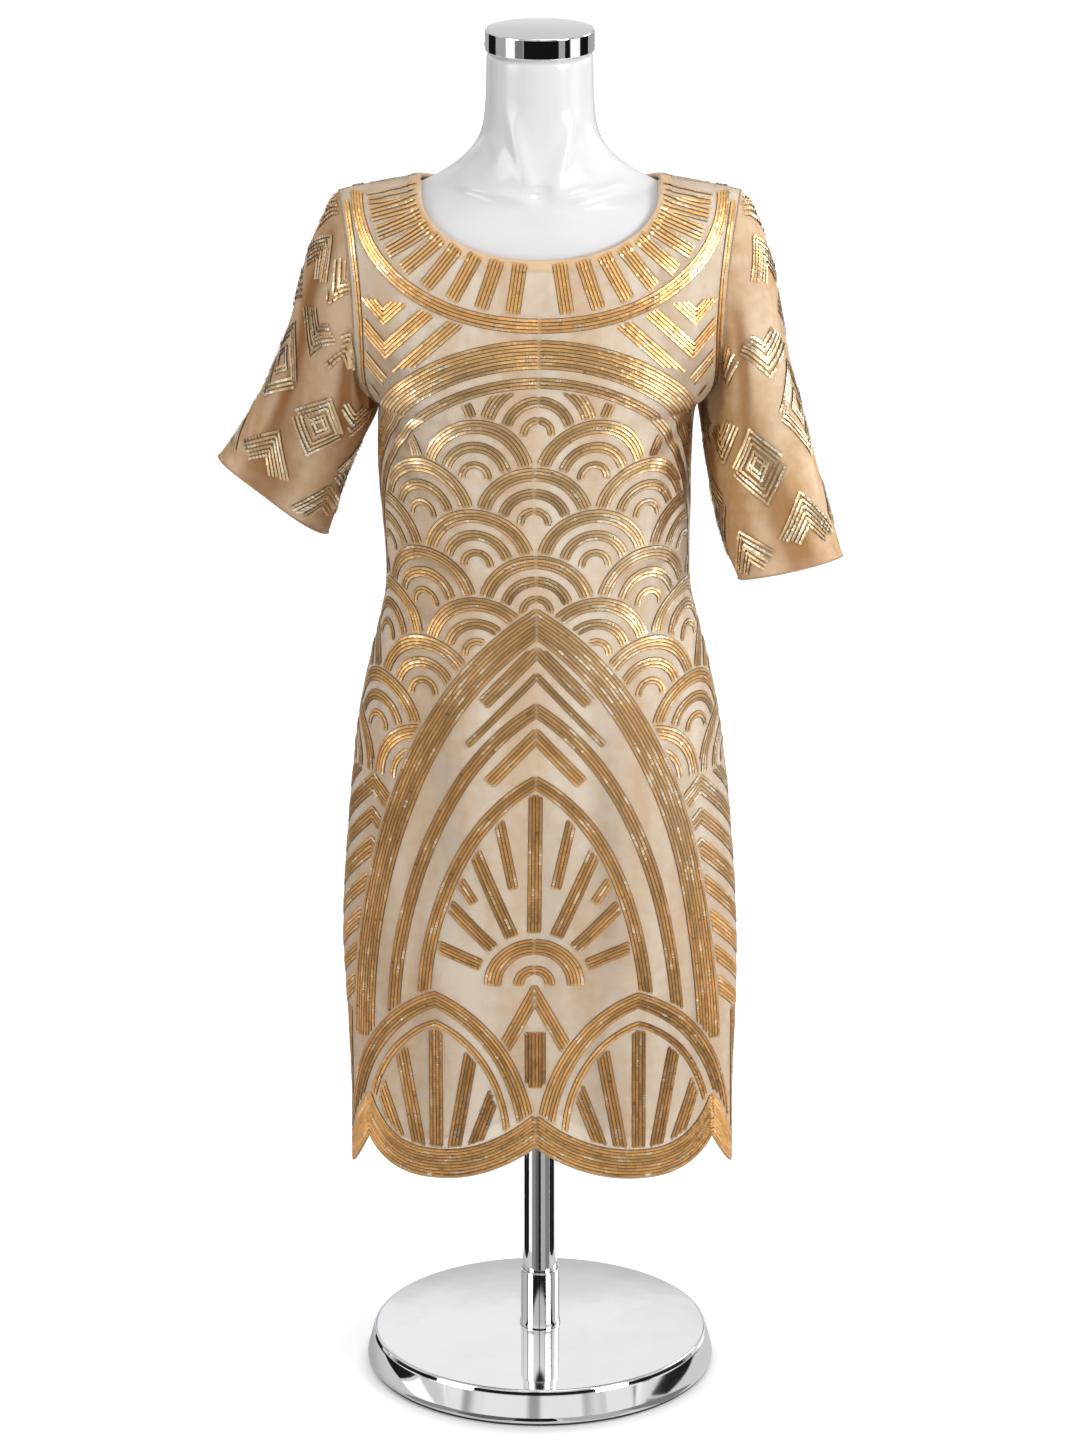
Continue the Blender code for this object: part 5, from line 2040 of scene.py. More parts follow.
@dataclass
class BodyPanels:
    """Front and back net with their linings."""

    cut: DressCut
    fall: FallOfCloth
    finishes: Finishes
    finer: int = 6
    lining_finer: int = 4
    lining_inset: float = 2 * MM
    lining_depth: float = 1.7 * MM
    thickness: float = 0.5 * MM
    arm_shade_place: tuple[float, float] = (146 * MM, 925 * MM)
    arm_shade_reach: float = 34 * MM
    trough_depth: float = 1.8 * MM
    skirt_shade_top: float = 780 * MM
    skirt_shade_reach: float = 320 * MM
    net_flat: tuple[float, float] = (0.43, 0.93)
    lining_flat: tuple[float, float] = (0.42, 0.85)

    def fallen(self, levels: tuple, hem: tuple, finer: int, inset: float) -> dict[Side, Cloth]:
        """Front and back with their creases and one normal along the seams they share.

        Args:
            levels: levels of the rows under the yoke, in millimetres.
            hem: shares of the way from the last level to the scalloped edge.
            finer: cells for each one of the coarse table.
            inset: how far the shoulder and the armhole keep in from the edge.

        Returns:
            The cloth of each side.
        """
        grids, normals = {}, {}
        for side in Side:
            grid = self.cut.panel(side, levels, hem, finer, inset)
            lift = self.fall.lift(grid[..., 0], grid[..., 2], side)[..., None]
            grids[side] = grid - side.value * grid_normals(grid) * lift
            normals[side] = -side.value * grid_normals(grids[side])
        front, back = normals[Side.FRONT], normals[Side.BACK]
        shoulders = np.concatenate([np.arange(front.shape[1])[s] for s in self.shoulders(finer)])
        below = slice(self.cut.yoke_cells * finer, None)
        for seam in ((below, 0), (below, -1), (0, shoulders)):
            front[seam] = back[seam] = unit(front[seam] + back[seam])
        return {side: Cloth(grids[side], normals[side]) for side in Side}

    def shoulders(self, finer: int) -> tuple[slice, slice]:
        """Columns of the right and the left shoulder seam.

        Args:
            finer: cells for each one of the coarse table.

        Returns:
            The two ranges of columns.
        """
        columns = sum(SCALLOP_CELLS) * finer
        outer = columns // 2 - self.cut.neck_cells(finer)
        return slice(0, outer + 1), slice(columns - outer, columns + 1)

    def shade(self, grid: Array, side: Side) -> Array:
        """Depth of shade: deep under the arms and in troughs, soft at the sides and the skirt.

        Args:
            grid: points of the cloth.
            side: front or back.

        Returns:
            The shade of each point, from 0 to 1.
        """
        x, z = grid[..., 0], grid[..., 2]
        half, middle = self.cut.width(z)
        edge = np.clip(np.abs(x - middle) / half, 0, 1) ** 9
        arm_x, arm_z = self.arm_shade_place
        arm = np.hypot(np.abs(x) - arm_x, (z - arm_z) * 0.75) / self.arm_shade_reach
        trough = np.clip(-self.fall.lift(x, z, side) / self.trough_depth, 0, 1)
        skirt = fade((self.skirt_shade_top - z) / self.skirt_shade_reach)
        shade = edge * 0.06 + 0.75 * np.exp(-(arm**2)) + 0.42 * trough + 0.13 * skirt
        return np.clip(shade, 0, 1)

    def build(self) -> dict[str, Thing]:
        """The four cloth pieces by name.

        Returns:
            Each new object under its name.
        """
        made = []
        self.nets = self.fallen(PANEL_LEVELS, HEM_SHARES, self.finer, 0.0)
        linings = self.fallen(LINING_LEVELS, (), self.lining_finer, self.lining_inset)
        for side, net in self.nets.items():
            lining, word = linings[side], side.word
            made.append(net.wall(
                f"{word}_net", f"{word}_panel", "net_cloth", self.finishes.body_net,
                self.thickness, self.shade(net.grid, side),
            ))
            made.append(lining.wall(
                f"{word}_lining", f"lining_{word}", "lining_cloth", self.finishes.lining,
                self.thickness, self.shade(lining.grid, side), self.lining_depth,
            ))
        return {obj.name: obj for obj in made}

    def armhole(self, hand: Hand) -> Array:
        """Loop of one armhole, from the shoulder down the front and up the back.

        Args:
            hand: the wearer's left or right.

        Returns:
            The points of the loop.
        """
        column = -1 if hand is Hand.LEFT else 0
        yoke = self.cut.yoke_cells * self.finer
        front, back = (self.nets[side].grid[: yoke + 1, column] for side in Side)
        return np.concatenate([front, back[yoke - 1 : 0 : -1]])


# Folds of the sleeves: degrees round and hundredths of the way down of both ends, width and
# rise.
SLEEVE_CREASES = {
    Hand.LEFT: (
        (30, 8, 62, 96, 11.0, 1.6),
        (74, 5, 104, 72, 10.0, -1.8),
        (118, 12, 132, 60, 10.0, 1.4),
        (150, 30, 168, 84, 12.0, -1.4),
        (96, 60, 66, 98, 11.0, -1.2),
        (20, 40, 8, 96, 12.0, -1.2),
        (216, 8, 250, 80, 12.0, -1.6),
        (262, 4, 300, 70, 12.0, 1.5),
        (318, 20, 338, 92, 12.0, -1.3),
    ),
    Hand.RIGHT: (
        (24, 6, 58, 98, 11.0, -1.7),
        (58, 4, 92, 84, 10.0, 1.7),
        (98, 6, 126, 70, 10.0, -1.9),
        (140, 16, 152, 72, 11.0, 1.4),
        (172, 34, 150, 92, 12.0, -1.3),
        (40, 50, 20, 98, 12.0, 1.2),
        (222, 6, 246, 82, 12.0, -1.5),
        (270, 4, 290, 78, 12.0, 1.6),
        (326, 14, 340, 90, 12.0, -1.3),
    ),
}


class SleeveMotif(Enum):
    """Kinds of motif on the sleeves."""

    DIAMOND = "diamond"
    RISING = "rising"
    FALLING = "falling"

    def shapes(self, half: float) -> list[tuple[Array, int]]:
        """Paths of the motif round its middle, each with its number of rows.

        Args:
            half: half the motif's size in millimetres.

        Returns:
            The paths, the outer ones first.
        """
        if self is SleeveMotif.DIAMOND:
            upper = chevron(0, 1.3, 1, -1.3) * half
            core = upper * 0.4
            return [(upper + [0, 2.6], 3), (-upper - [0, 2.6], 3), (core, 2), (-core, 2)]
        sign = 1 if self is SleeveMotif.RISING else -1
        outer = chevron(0, 0.75, 1, -1.25) * half
        inner = outer * 0.58 - [0, half * 0.42]
        return [(outer * [1, sign], 3), (inner * [1, sign], 3)]


# Rounds of motifs down a sleeve: share of its length, number round it, half size, kind.
SLEEVE_ROUNDS = (
    (0.88, 5, 29.0, SleeveMotif.RISING),
    (0.66, 5, 27.0, SleeveMotif.DIAMOND),
    (0.44, 5, 26.0, SleeveMotif.FALLING),
    (0.25, 5, 24.0, SleeveMotif.RISING),
    (0.09, 6, 20.0, SleeveMotif.FALLING),
)
SLEEVE_ROUND_START = {Hand.LEFT: 56.0, Hand.RIGHT: 62.0}
# Extra painted shade on each sleeve's net: the wearer's right sleeve, turned away from the key
# light, is painted darker.
SLEEVE_PAINTED_SHADE = {Hand.LEFT: 0.0, Hand.RIGHT: 0.36}


@dataclass
class Sleeve:
    """One elbow sleeve: a sheer tube of net with soft folds, its cuff hem and its sequins."""

    hand: Hand
    finishes: Finishes
    rows_between: int = 9
    blend_rows: int = 5
    thickness: float = 0.45 * MM
    flat: tuple[float, float] = (0.33, 0.30)
    sequin_pitch: float = 3.7
    clear: float = 7 * MM
    clear_rows: int = 3
    shortest: int = 5
    cuff_ripple: float = 1.6

    def build(self, loop: Array) -> Thing:
        """Net tube from the armhole loop to the cuff.

        Args:
            loop: the armhole, from the shoulder down the front and up the back.

        Returns:
            The new object.
        """
        shade = self.shape(loop)
        grid, normals, word = self.cloth.grid, self.cloth.normals, self.hand.word
        self.wrapped = np.concatenate([grid, grid[:, :1]], axis=1)
        self.wrapped_normals = np.concatenate([normals, normals[:, :1]], axis=1)
        return self.cloth.wall(
            f"{word}_sleeve_net", f"sleeve_{word}", "sleeve_net", self.finishes.sleeve_net,
            self.thickness, shade,
        )

    def shape(self, loop: Array) -> Array:
        """Rings round a moving middle, blended from the armhole loop, with folds.

        Each ring is its middle plus half its width times the cosine of the angle, less its
        half depth times the sine, where the angle goes once round from the shoulder.

        Args:
            loop: the armhole, from the shoulder down the front and up the back.

        Returns:
            The depth of painted shade of each point.
        """
        table = SLEEVE_LEFT_RINGS if self.hand is Hand.LEFT else SLEEVE_RIGHT_RINGS
        rows = finer_table(np.array(table, float) * MM, self.rows_between)
        at = np.arange(len(rows))[:, None] / self.rows_between
        travelled = along(np.concatenate([loop, loop[:1]]))
        ends = [0.0, travelled[len(loop) // 2], travelled[-1]]
        angle = np.interp(travelled[:-1], ends, [0, math.pi, 2 * math.pi])
        self.angle = angle
        outer_x, outer_z, inner_x, inner_z, mid_y, depth, drop = (c[:, None] for c in rows.T)
        across, through = np.cos(angle), np.sin(angle)
        x = (outer_x + inner_x) / 2 + (outer_x - inner_x) / 2 * across
        z = (outer_z + inner_z) / 2 + (outer_z - inner_z) / 2 * across - drop * through
        grid = np.stack([self.hand.value * x, mid_y - depth * through, z], axis=2)
        follow = 1 - fade(at / self.blend_rows)[..., None]
        grid = grid + follow * (loop - grid[0])
        normals = -self.hand.value * grid_normals(grid, around=True)
        share, degrees = np.broadcast_arrays(at / at[-1] * 100, np.degrees(angle))
        rise = sum(Crease(*row).lift(degrees, share) for row in SLEEVE_CREASES[self.hand])
        ripple = np.sin(np.radians(3 * degrees) + 0.8) * fade((share - 45) / 55)
        rise = (rise + self.cuff_ripple * ripple) * fade(share / 8)
        grid = grid + normals * rise[..., None] * MM
        self.cloth = Cloth(grid, -self.hand.value * grid_normals(grid, around=True), True)
        # Painted shade: darker on the inner side, in the troughs of the folds and on the sleeve
        # turned from the light, less so towards the cuff.
        inner = np.clip(-across, 0, 1) ** 1.5 * (0.95 - 0.4 * fade(share / 90))
        hollow = 0.75 * np.clip(-rise / 1.5, 0, 1)
        turned_away = SLEEVE_PAINTED_SHADE[self.hand] * (1 - 0.6 * fade((share - 60) / 35))
        return np.clip(0.8 * inner + hollow + turned_away, 0, 1)

    def local(self, degrees: float, share: float, path: Array) -> tuple[Array, Array, Array]:
        """Where a motif's path lies on the sleeve.

        Up is along the grid's columns at the middle; round is square to it, so that a step
        round is a length along the ring, divided by how square the ring stands to the
        columns, and the ring's lean is taken off the row.

        Args:
            degrees: angle of the motif's middle.
            share: how far down the sleeve the middle lies, from 0 to 1.
            path: millimetres round the sleeve, towards the front, and up it.

        Returns:
            The places, their normals and their grid rows.
        """
        rows, columns = len(self.wrapped), self.wrapped.shape[1] - 1
        full = np.append(self.angle, 2 * math.pi)
        column = np.interp(math.radians(degrees), full, np.arange(columns + 1))
        row = share * (rows - 1)
        cross_columns = np.array([column, column, column + 1, column - 1]) % columns
        ends = sample_grid(self.wrapped, np.array([row + 1, row - 1, row, row]), cross_columns)
        down, ring = (ends[0] - ends[1]) / 2, unit(ends[2] - ends[3])
        down_length = np.linalg.norm(down)
        lean = ring @ down / down_length
        travel = path[:, 0] * MM / math.sqrt(1 - min(lean**2, 0.7))
        r = np.clip(row + (-path[:, 1] * MM - travel * lean) / down_length, 0, rows - 1.001)
        ring_arcs = sample_grid(along(self.wrapped, 1), r[:, None], np.arange(columns + 1.0))
        numbers = np.arange(columns + 1)
        c = np.empty(len(r))
        for i, arcs in enumerate(ring_arcs):
            target = (np.interp(column, numbers, arcs) + travel[i]) % arcs[-1]
            c[i] = np.interp(target, arcs, numbers)
        normals = unit(sample_grid(self.wrapped_normals, r, c))
        return sample_grid(self.wrapped, r, c), normals, r

    def motifs(self) -> list[tuple[float, float, float, SleeveMotif]]:
        """Middle angle, share down the sleeve, half size and kind of each motif.

        Returns:
            The motifs, round by round from the cuff up.
        """
        found = []
        for number, (share, count, half, kind) in enumerate(SLEEVE_ROUNDS):
            start = SLEEVE_ROUND_START[self.hand] + number * 180 / count
            for k in range(count):
                degrees = (start + 360 * k / count) % 360
                found.append((degrees, share + 0.015 * math.sin(2.4 * k), half, kind))
        return found

    def room(self, degrees: float) -> float:
        """Length of the sleeve at an angle over its longest, held between 0.7 and 1.

        Args:
            degrees: angle round the sleeve, from the shoulder.

        Returns:
            The share.
        """
        length = along(self.cloth.grid)[-1]
        here = np.interp(math.radians(degrees), self.angle, length)
        return float(np.clip(here / length.max(), 0.7, 1.0))

    def sequin_rows(self) -> list[tuple[Array, Array, float]]:
        """Rows of every motif that finds room, cut off near the seams and other motifs.

        Returns:
            Places, normals and brightness of each row.
        """
        found: list[tuple[Array, Array, float]] = []
        for degrees, share, half, kind in self.motifs():
            laid = np.concatenate([row[0] for row in found]) if found else np.full((1, 3), 9.0)
            pieces, tried = [], 0
            for shape, count in kind.shapes(half * self.room(degrees)):
                for row in range(count):
                    offset = (row - (count - 1) / 2) * self.sequin_pitch
                    path = even_steps(beside(shape, offset), SLEEVE_SEQUIN.step / MM)
                    places, normals, at = self.local(degrees, share, path)
                    apart = np.linalg.norm(places[:, None] - laid, axis=2).min(axis=1)
                    good = (apart > self.clear) & (at > self.clear_rows)
                    good &= at < len(self.wrapped) - self.clear_rows
                    tried += len(path)
                    shine = 1.05 if count > 2 else 1.2
                    for span in stretches(good):
                        if span.stop - span.start >= self.shortest:
                            pieces.append((places[span], normals[span], shine))
            if sum(len(piece[0]) for piece in pieces) > 0.5 * tried:
                found += pieces
        return found


# Section of the neck strip in millimetres, from its outer leg over the edge to its inner leg:
# distance from the neck edge, height over the cloth.
STRIP_SECTION = (
    (9.0, 0.15), (9.1, 0.4), (8.7, 0.6), (7.6, 0.6), (5.2, 0.68), (3.0, 0.75), (1.2, 0.8),
    (0.1, 0.6), (-0.5, -0.1), (-0.65, -1.0), (-0.35, -2.1), (0.6, -2.75), (2.4, -2.9),
    (4.6, -2.85), (4.8, -2.55), (2.4, -2.45), (0.9, -2.2), (0.3, -1.2), (0.4, -0.4),
    (1.3, 0.1), (3.0, 0.2), (6.0, 0.2),
)
# A stitch: place along it as a share of its length, sinking and swelling as shares of its
# thickness.
STITCH_STATIONS = (
    (-0.5, -0.5, 0.25), (-0.38, -0.1, 0.8), (0.0, 0.0, 1.0), (0.38, -0.1, 0.8), (0.5, -0.5, 0.25),
)


@dataclass
class NeckBinding:
    """Self-cloth strip folded over the neck edge, with its line of stitches."""

    cut: DressCut
    finishes: Finishes
    width: float = 9 * MM
    flat: tuple[float, float] = (0.62, 0.020)
    points_round: int = 72
    stitch_line: float = 7.4 * MM
    stitch_lift: float = 0.68 * MM
    stitch_pitch: float = 3.4 * MM
    stitch_length: float = 2.3 * MM
    stitch_thickness: float = 0.36 * MM
    stitch_sides: int = 6
    look_ahead: float = 0.2 * MM

    def loop(self, spread: float) -> Array:
        """Neck edge moved down on the cloth by a spread, front then back.

        Half of each side's edge is drawn and mirrored, and takes its y from the section.

        Args:
            spread: distance from the neck edge.

        Returns:
            The points of the loop.
        """
        shares = crowded(self.points_round // 2, self.cut.neck_crowding)
        arcs = []
        for side in Side:
            x, z = self.cut.neck_curve(shares, side, spread)
            half = np.stack([x, self.cut.cloth_y(x, z, side), z], axis=1)
            arcs.append(np.concatenate([half[:0:-1] * [-1, 1, 1], half]))
        return np.concatenate([arcs[0], arcs[1][-2:0:-1]])

    def normals_at(self, share: float) -> Array:
        """Normals of the cloth round the neck, at a share of the strip's width.

        Args:
            share: place across the strip, from the edge out; it is held between 0 and 1.

        Returns:
            One unit normal for each point of the loop.
        """
        guide = np.array([self.loop(s) for s in (0.0, self.width / 2, self.width)])
        row = np.full(guide.shape[1], 2 * np.clip(share, 0, 1))
        return unit(sample_grid(grid_normals(guide, True), row, np.arange(guide.shape[1])))

    def build(self) -> Thing:
        """Closed strip: an outer leg, a rolled edge and an inner leg round the neck.

        Each ring is the neck edge at its distance plus the cloth's normal times its height.

        Returns:
            The new object.
        """
        section = np.array(STRIP_SECTION) * MM
        rings = np.array([self.loop(s) + self.normals_at(s / self.width) * up for s, up in section])
        faces = tube_faces(*rings.shape[:2], TubeEnds.LOOP)
        flat = np.stack(np.meshgrid(along(rings[0]), along(rings[:, 0])), axis=2)
        return put_mesh(
            "neck_strip", rings.reshape(-1, 3), faces, self.finishes.binding,
            "neck_binding", flat=flat.reshape(-1, 2),
        )

    def stitches(self) -> Thing:
        """Running stitches round the strip's lower edge, each a tapered six-sided rod.

        Each ring of a stitch is the stitch line's point, lifted, plus the radius at its
        station times the cosine sideways and the sine upwards.

        Returns:
            The new object.
        """
        loop, up = self.loop(self.stitch_line), self.normals_at(0.8)
        line = np.concatenate([loop, up], axis=1)
        line = np.concatenate([line, line[:1]])
        travelled = along(line[:, :3])
        count = int(travelled[-1] / self.stitch_pitch)
        middle = (np.arange(count) + 0.5) * travelled[-1] / count
        station, sag, swell = np.array(STITCH_STATIONS).T
        at = (middle[:, None] + station * self.stitch_length).reshape(-1)
        steps = (0, self.look_ahead, -self.look_ahead)
        here, ahead, back = (at_distance(at + step, travelled, line) for step in steps)
        normal = unit(here[:, 3:])
        side = unit(np.cross(unit(ahead[:, :3] - back[:, :3]), normal))
        angle = 2 * math.pi * np.arange(self.stitch_sides)[:, None] / self.stitch_sides
        radius = np.tile(swell, count)[:, None, None] * self.stitch_thickness / 2
        height = (self.stitch_lift + np.tile(sag, count) * self.stitch_thickness)[:, None]
        around = np.cos(angle) * side[:, None] + np.sin(angle) * normal[:, None]
        points = (here[:, :3] + normal * height)[:, None] + around * radius
        shift = np.arange(count)[:, None, None] * len(station) * self.stitch_sides
        one = flipped(tube_faces(len(station), self.stitch_sides, TubeEnds.CAPS))
        faces = [(f + shift).reshape(-1, f.shape[1]) for f in one]
        points = points.reshape(-1, 3)
        finish = self.finishes.edge_thread
        return put_mesh("neck_stitches", points, faces, finish)


# --------------------------------------------------------------------------- form and stand


@dataclass
class DressForm:
    """Limbless gloss form with a plain neck, shallow collarbones and neck cords."""

    finishes: Finishes
    columns: int = 144
    rows_between: int = 6
    underside_z: float = 400 * MM
    underside_share: float = 0.92
    section_power: float = 2.1

    def build(self) -> Thing:
        """Closed skin from the section table, with soft relief on the upper chest.

        Each ring is x = half width x cosine and y = middle + reach x
        (1 - |cosine|^2.1) ^ end power, forwards where the sine is below zero.

        Returns:
            The new object.
        """
        table = finer_table(np.array(FORM_SECTIONS, float), self.rows_between)
        level, half, front, back, mid_y, power = (c[:, None] for c in table.T)
        angle = 2 * math.pi * np.arange(self.columns)[None] / self.columns
        forward = np.sin(angle) < 0
        reach = np.where(forward, -front - mid_y, back - mid_y)
        swell = np.clip(1 - np.abs(np.cos(angle)) ** self.section_power, 0, 1) ** power
        x, y = half * np.cos(angle), mid_y + reach * swell
        rings = np.stack([x, y, np.broadcast_to(level, x.shape)], axis=2)
        around = np.roll(rings, -1, 1) - np.roll(rings, 1, 1)
        normals = unit(np.cross(around, np.gradient(rings, axis=0)))
        rings = (rings + normals * self.relief(rings)[..., None]) * MM
        underside = rings[:1] * [self.underside_share, self.underside_share, 1]
        underside[..., 2] = self.underside_z
        rings = np.concatenate([underside, rings])
        tips = [[0, 0, self.underside_z], [0, 0, rings[-1, 0, 2]]]
        points = np.concatenate([rings.reshape(-1, 3), tips])
        faces = tube_faces(len(rings), self.columns, TubeEnds.TIPS)
        return put_mesh("form_shell", points, faces, self.finishes.form, "torso")

    def relief(self, rings: Array) -> Array:
        """Height in millimetres of the neck cords, the hollow between them and the collarbones.

        It is a sum of bell curves round short lines, faded out away from the front.

        Args:
            rings: points of the skin in millimetres.

        Returns:
            The height at each point.
        """
        x, y, z = rings[..., 0], rings[..., 1], rings[..., 2]
        off = np.abs(x - 2)
        hollow = -4.0 * np.exp(-((off / 9.0) ** 2) - ((z - 1112) / 8.0) ** 2)
        cords = Crease(28, 1180, 9, 1112, 6.0, 3.2).lift(off, z)
        throat = Crease(2, 1196, 2, 1122, 11.0, -1.1).lift(x, z)
        bones = Crease(6, 1109, 90, 1119, 4.0, 3.0).lift(off, z)
        under = Crease(12, 1101, 88, 1110, 4.6, -1.8).lift(off, z)
        return fade((-y - 14) / 22) * (cords + hollow + throat + bones + under)


# Turned pieces: name, node, and corners as radius, height and rounding in millimetres.
TURNED_PIECES = (
    ("cap_disc", "neck_cap", (
        (0, 1248, 0), (40, 1248, 0), (47.5, 1247.6, 1.6), (47.5, 1229.6, 0.5),
        (46.4, 1228.3, 0.5), (0, 1228.1, 0),
    )),
    ("pole_tube", "pole", (
        (0, 399.7, 0), (42, 399.7, 0.8), (42, 393.7, 0.8), (24, 393.7, 2.0),
        (15.8, 388.0, 3.0), (15.8, 34.0, 0.5), (0, 33.4, 0),
    )),
    ("pole_collar", "pole_socket", (
        (16.1, 88.3, 0.3), (17.6, 88.3, 1.0), (17.8, 40, 0), (18.6, 34.4, 0.9),
        (18.6, 33.5, 0.3), (16.1, 33.5, 0.2),
    )),
    ("base_plate", "base", (
        (0, 33, 0), (120, 33, 0), (152.0, 32.8, 1.8), (154.1, 28.0, 0.8), (159.6, 6.5, 2.2),
        (158.4, 2.6, 0.6), (0, 2.4, 0),
    )),
    ("base_foot", None, ((0, 2.3, 0), (156.6, 2.3, 0.5), (156.6, 0.0, 0.5), (0, 0, 0))),
)
SCREW = ((0, 1.1, 0), (1.2, 1.05, 0.4), (2.0, 0.4, 0.3), (2.0, -1.2, 0), (0, -1.2, 0))


@dataclass
class Stand:
    """Chromed neck cap, pole, socket and round base with its rubber foot."""

    finishes: Finishes
    steps: int = 144
    screw_steps: int = 16
    screw_place: tuple[float, float, float] = (47.4 * MM, 0, 1234 * MM)

    def build(self) -> None:
        """Turned pieces from their corners, then the screws."""
        for name, node, corners in TURNED_PIECES:
            finish = self.finishes.chrome if node else self.finishes.rubber
            points, faces = spun(rounded_profile(corners), self.steps, ring=corners[0][0] > 0)
            put_mesh(name, points, faces, finish, node)
        self.cap_screws()

    def cap_screws(self) -> None:
        """Two small domed screws in the cap's side, one left and one right."""
        points, faces = spun(rounded_profile(SCREW), self.screw_steps)
        left = points[:, [2, 0, 1]] + self.screw_place
        both = [np.concatenate([f, f[:, ::-1] + len(points)]) for f in faces]
        points = np.concatenate([left, left * [-1, 1, 1]])
        put_mesh("cap_screws", points, both, self.finishes.chrome)


# ------------------------------------------------------------------------------- the studio


# Soft boxes: name, place, target, side in metres, watts.
SOFT_BOXES = (
    ("key", (2.9, -2.5, 1.75), (0, 0, 0.65), 1.6, 82),
    ("fill", (-3.1, -1.9, 1.5), (0, 0, 0.65), 1.8, 27),
    ("top", (0.3, -0.4, 3.6), (0, 0, 0.6), 1.6, 16),
    ("rim", (2.6, 1.4, 1.6), (0, 0, 0.7), 1.4, 20),
)
# Cards on the floor, seen only in gloss: first and last azimuth in degrees from the front,
# towards the wearer's left, near and far distance in metres, glow.
FLOOR_CARDS = (
    (-136, -106, 4.0, 20.0, 0.0),
    (-76, -54, 4.0, 9.5, 1.25),
    (-54, -36, 4.0, 20.0, 0.2),
    (-34, 40, 4.0, 20.0, 0.0),
    (54, 66, 4.0, 9.5, 0.0),
    (68, 92, 4.0, 9.5, 1.25),
    (94, 122, 4.0, 20.0, 0.0),
    (-128, -78, 0.27, 0.56, 0.0),
    (-76, -56, 0.27, 0.56, 1.2),
    (-54, -30, 0.165, 0.56, 0.26),
    (-30, -9, 0.165, 0.56, 0.12),
    (-9, 6, 0.165, 0.56, 0.0),
    (8, 34, 0.165, 0.56, 0.45),
    (34, 64, 0.165, 0.56, 0.22),
    (66, 106, 0.27, 0.56, 0.0),
    (112, 180, 0.27, 0.56, 1.2),
    (-180, -132, 0.27, 0.56, 1.2),
)
# Brightness of the room seen in gloss: share of the way from straight down to straight up.
ROOM_STOPS = (
    (0.0, 0.5),
    (0.50, 0.92),
    (0.56, 0.92),
    (0.585, 0.80),
    (0.605, 0.70),
    (0.6955, 0.60),
    (0.6995, 1.0),
    (0.745, 0.90),
    (0.80, 0.72),
    (0.960, 0.62),
    (1.0, 0.55),
)


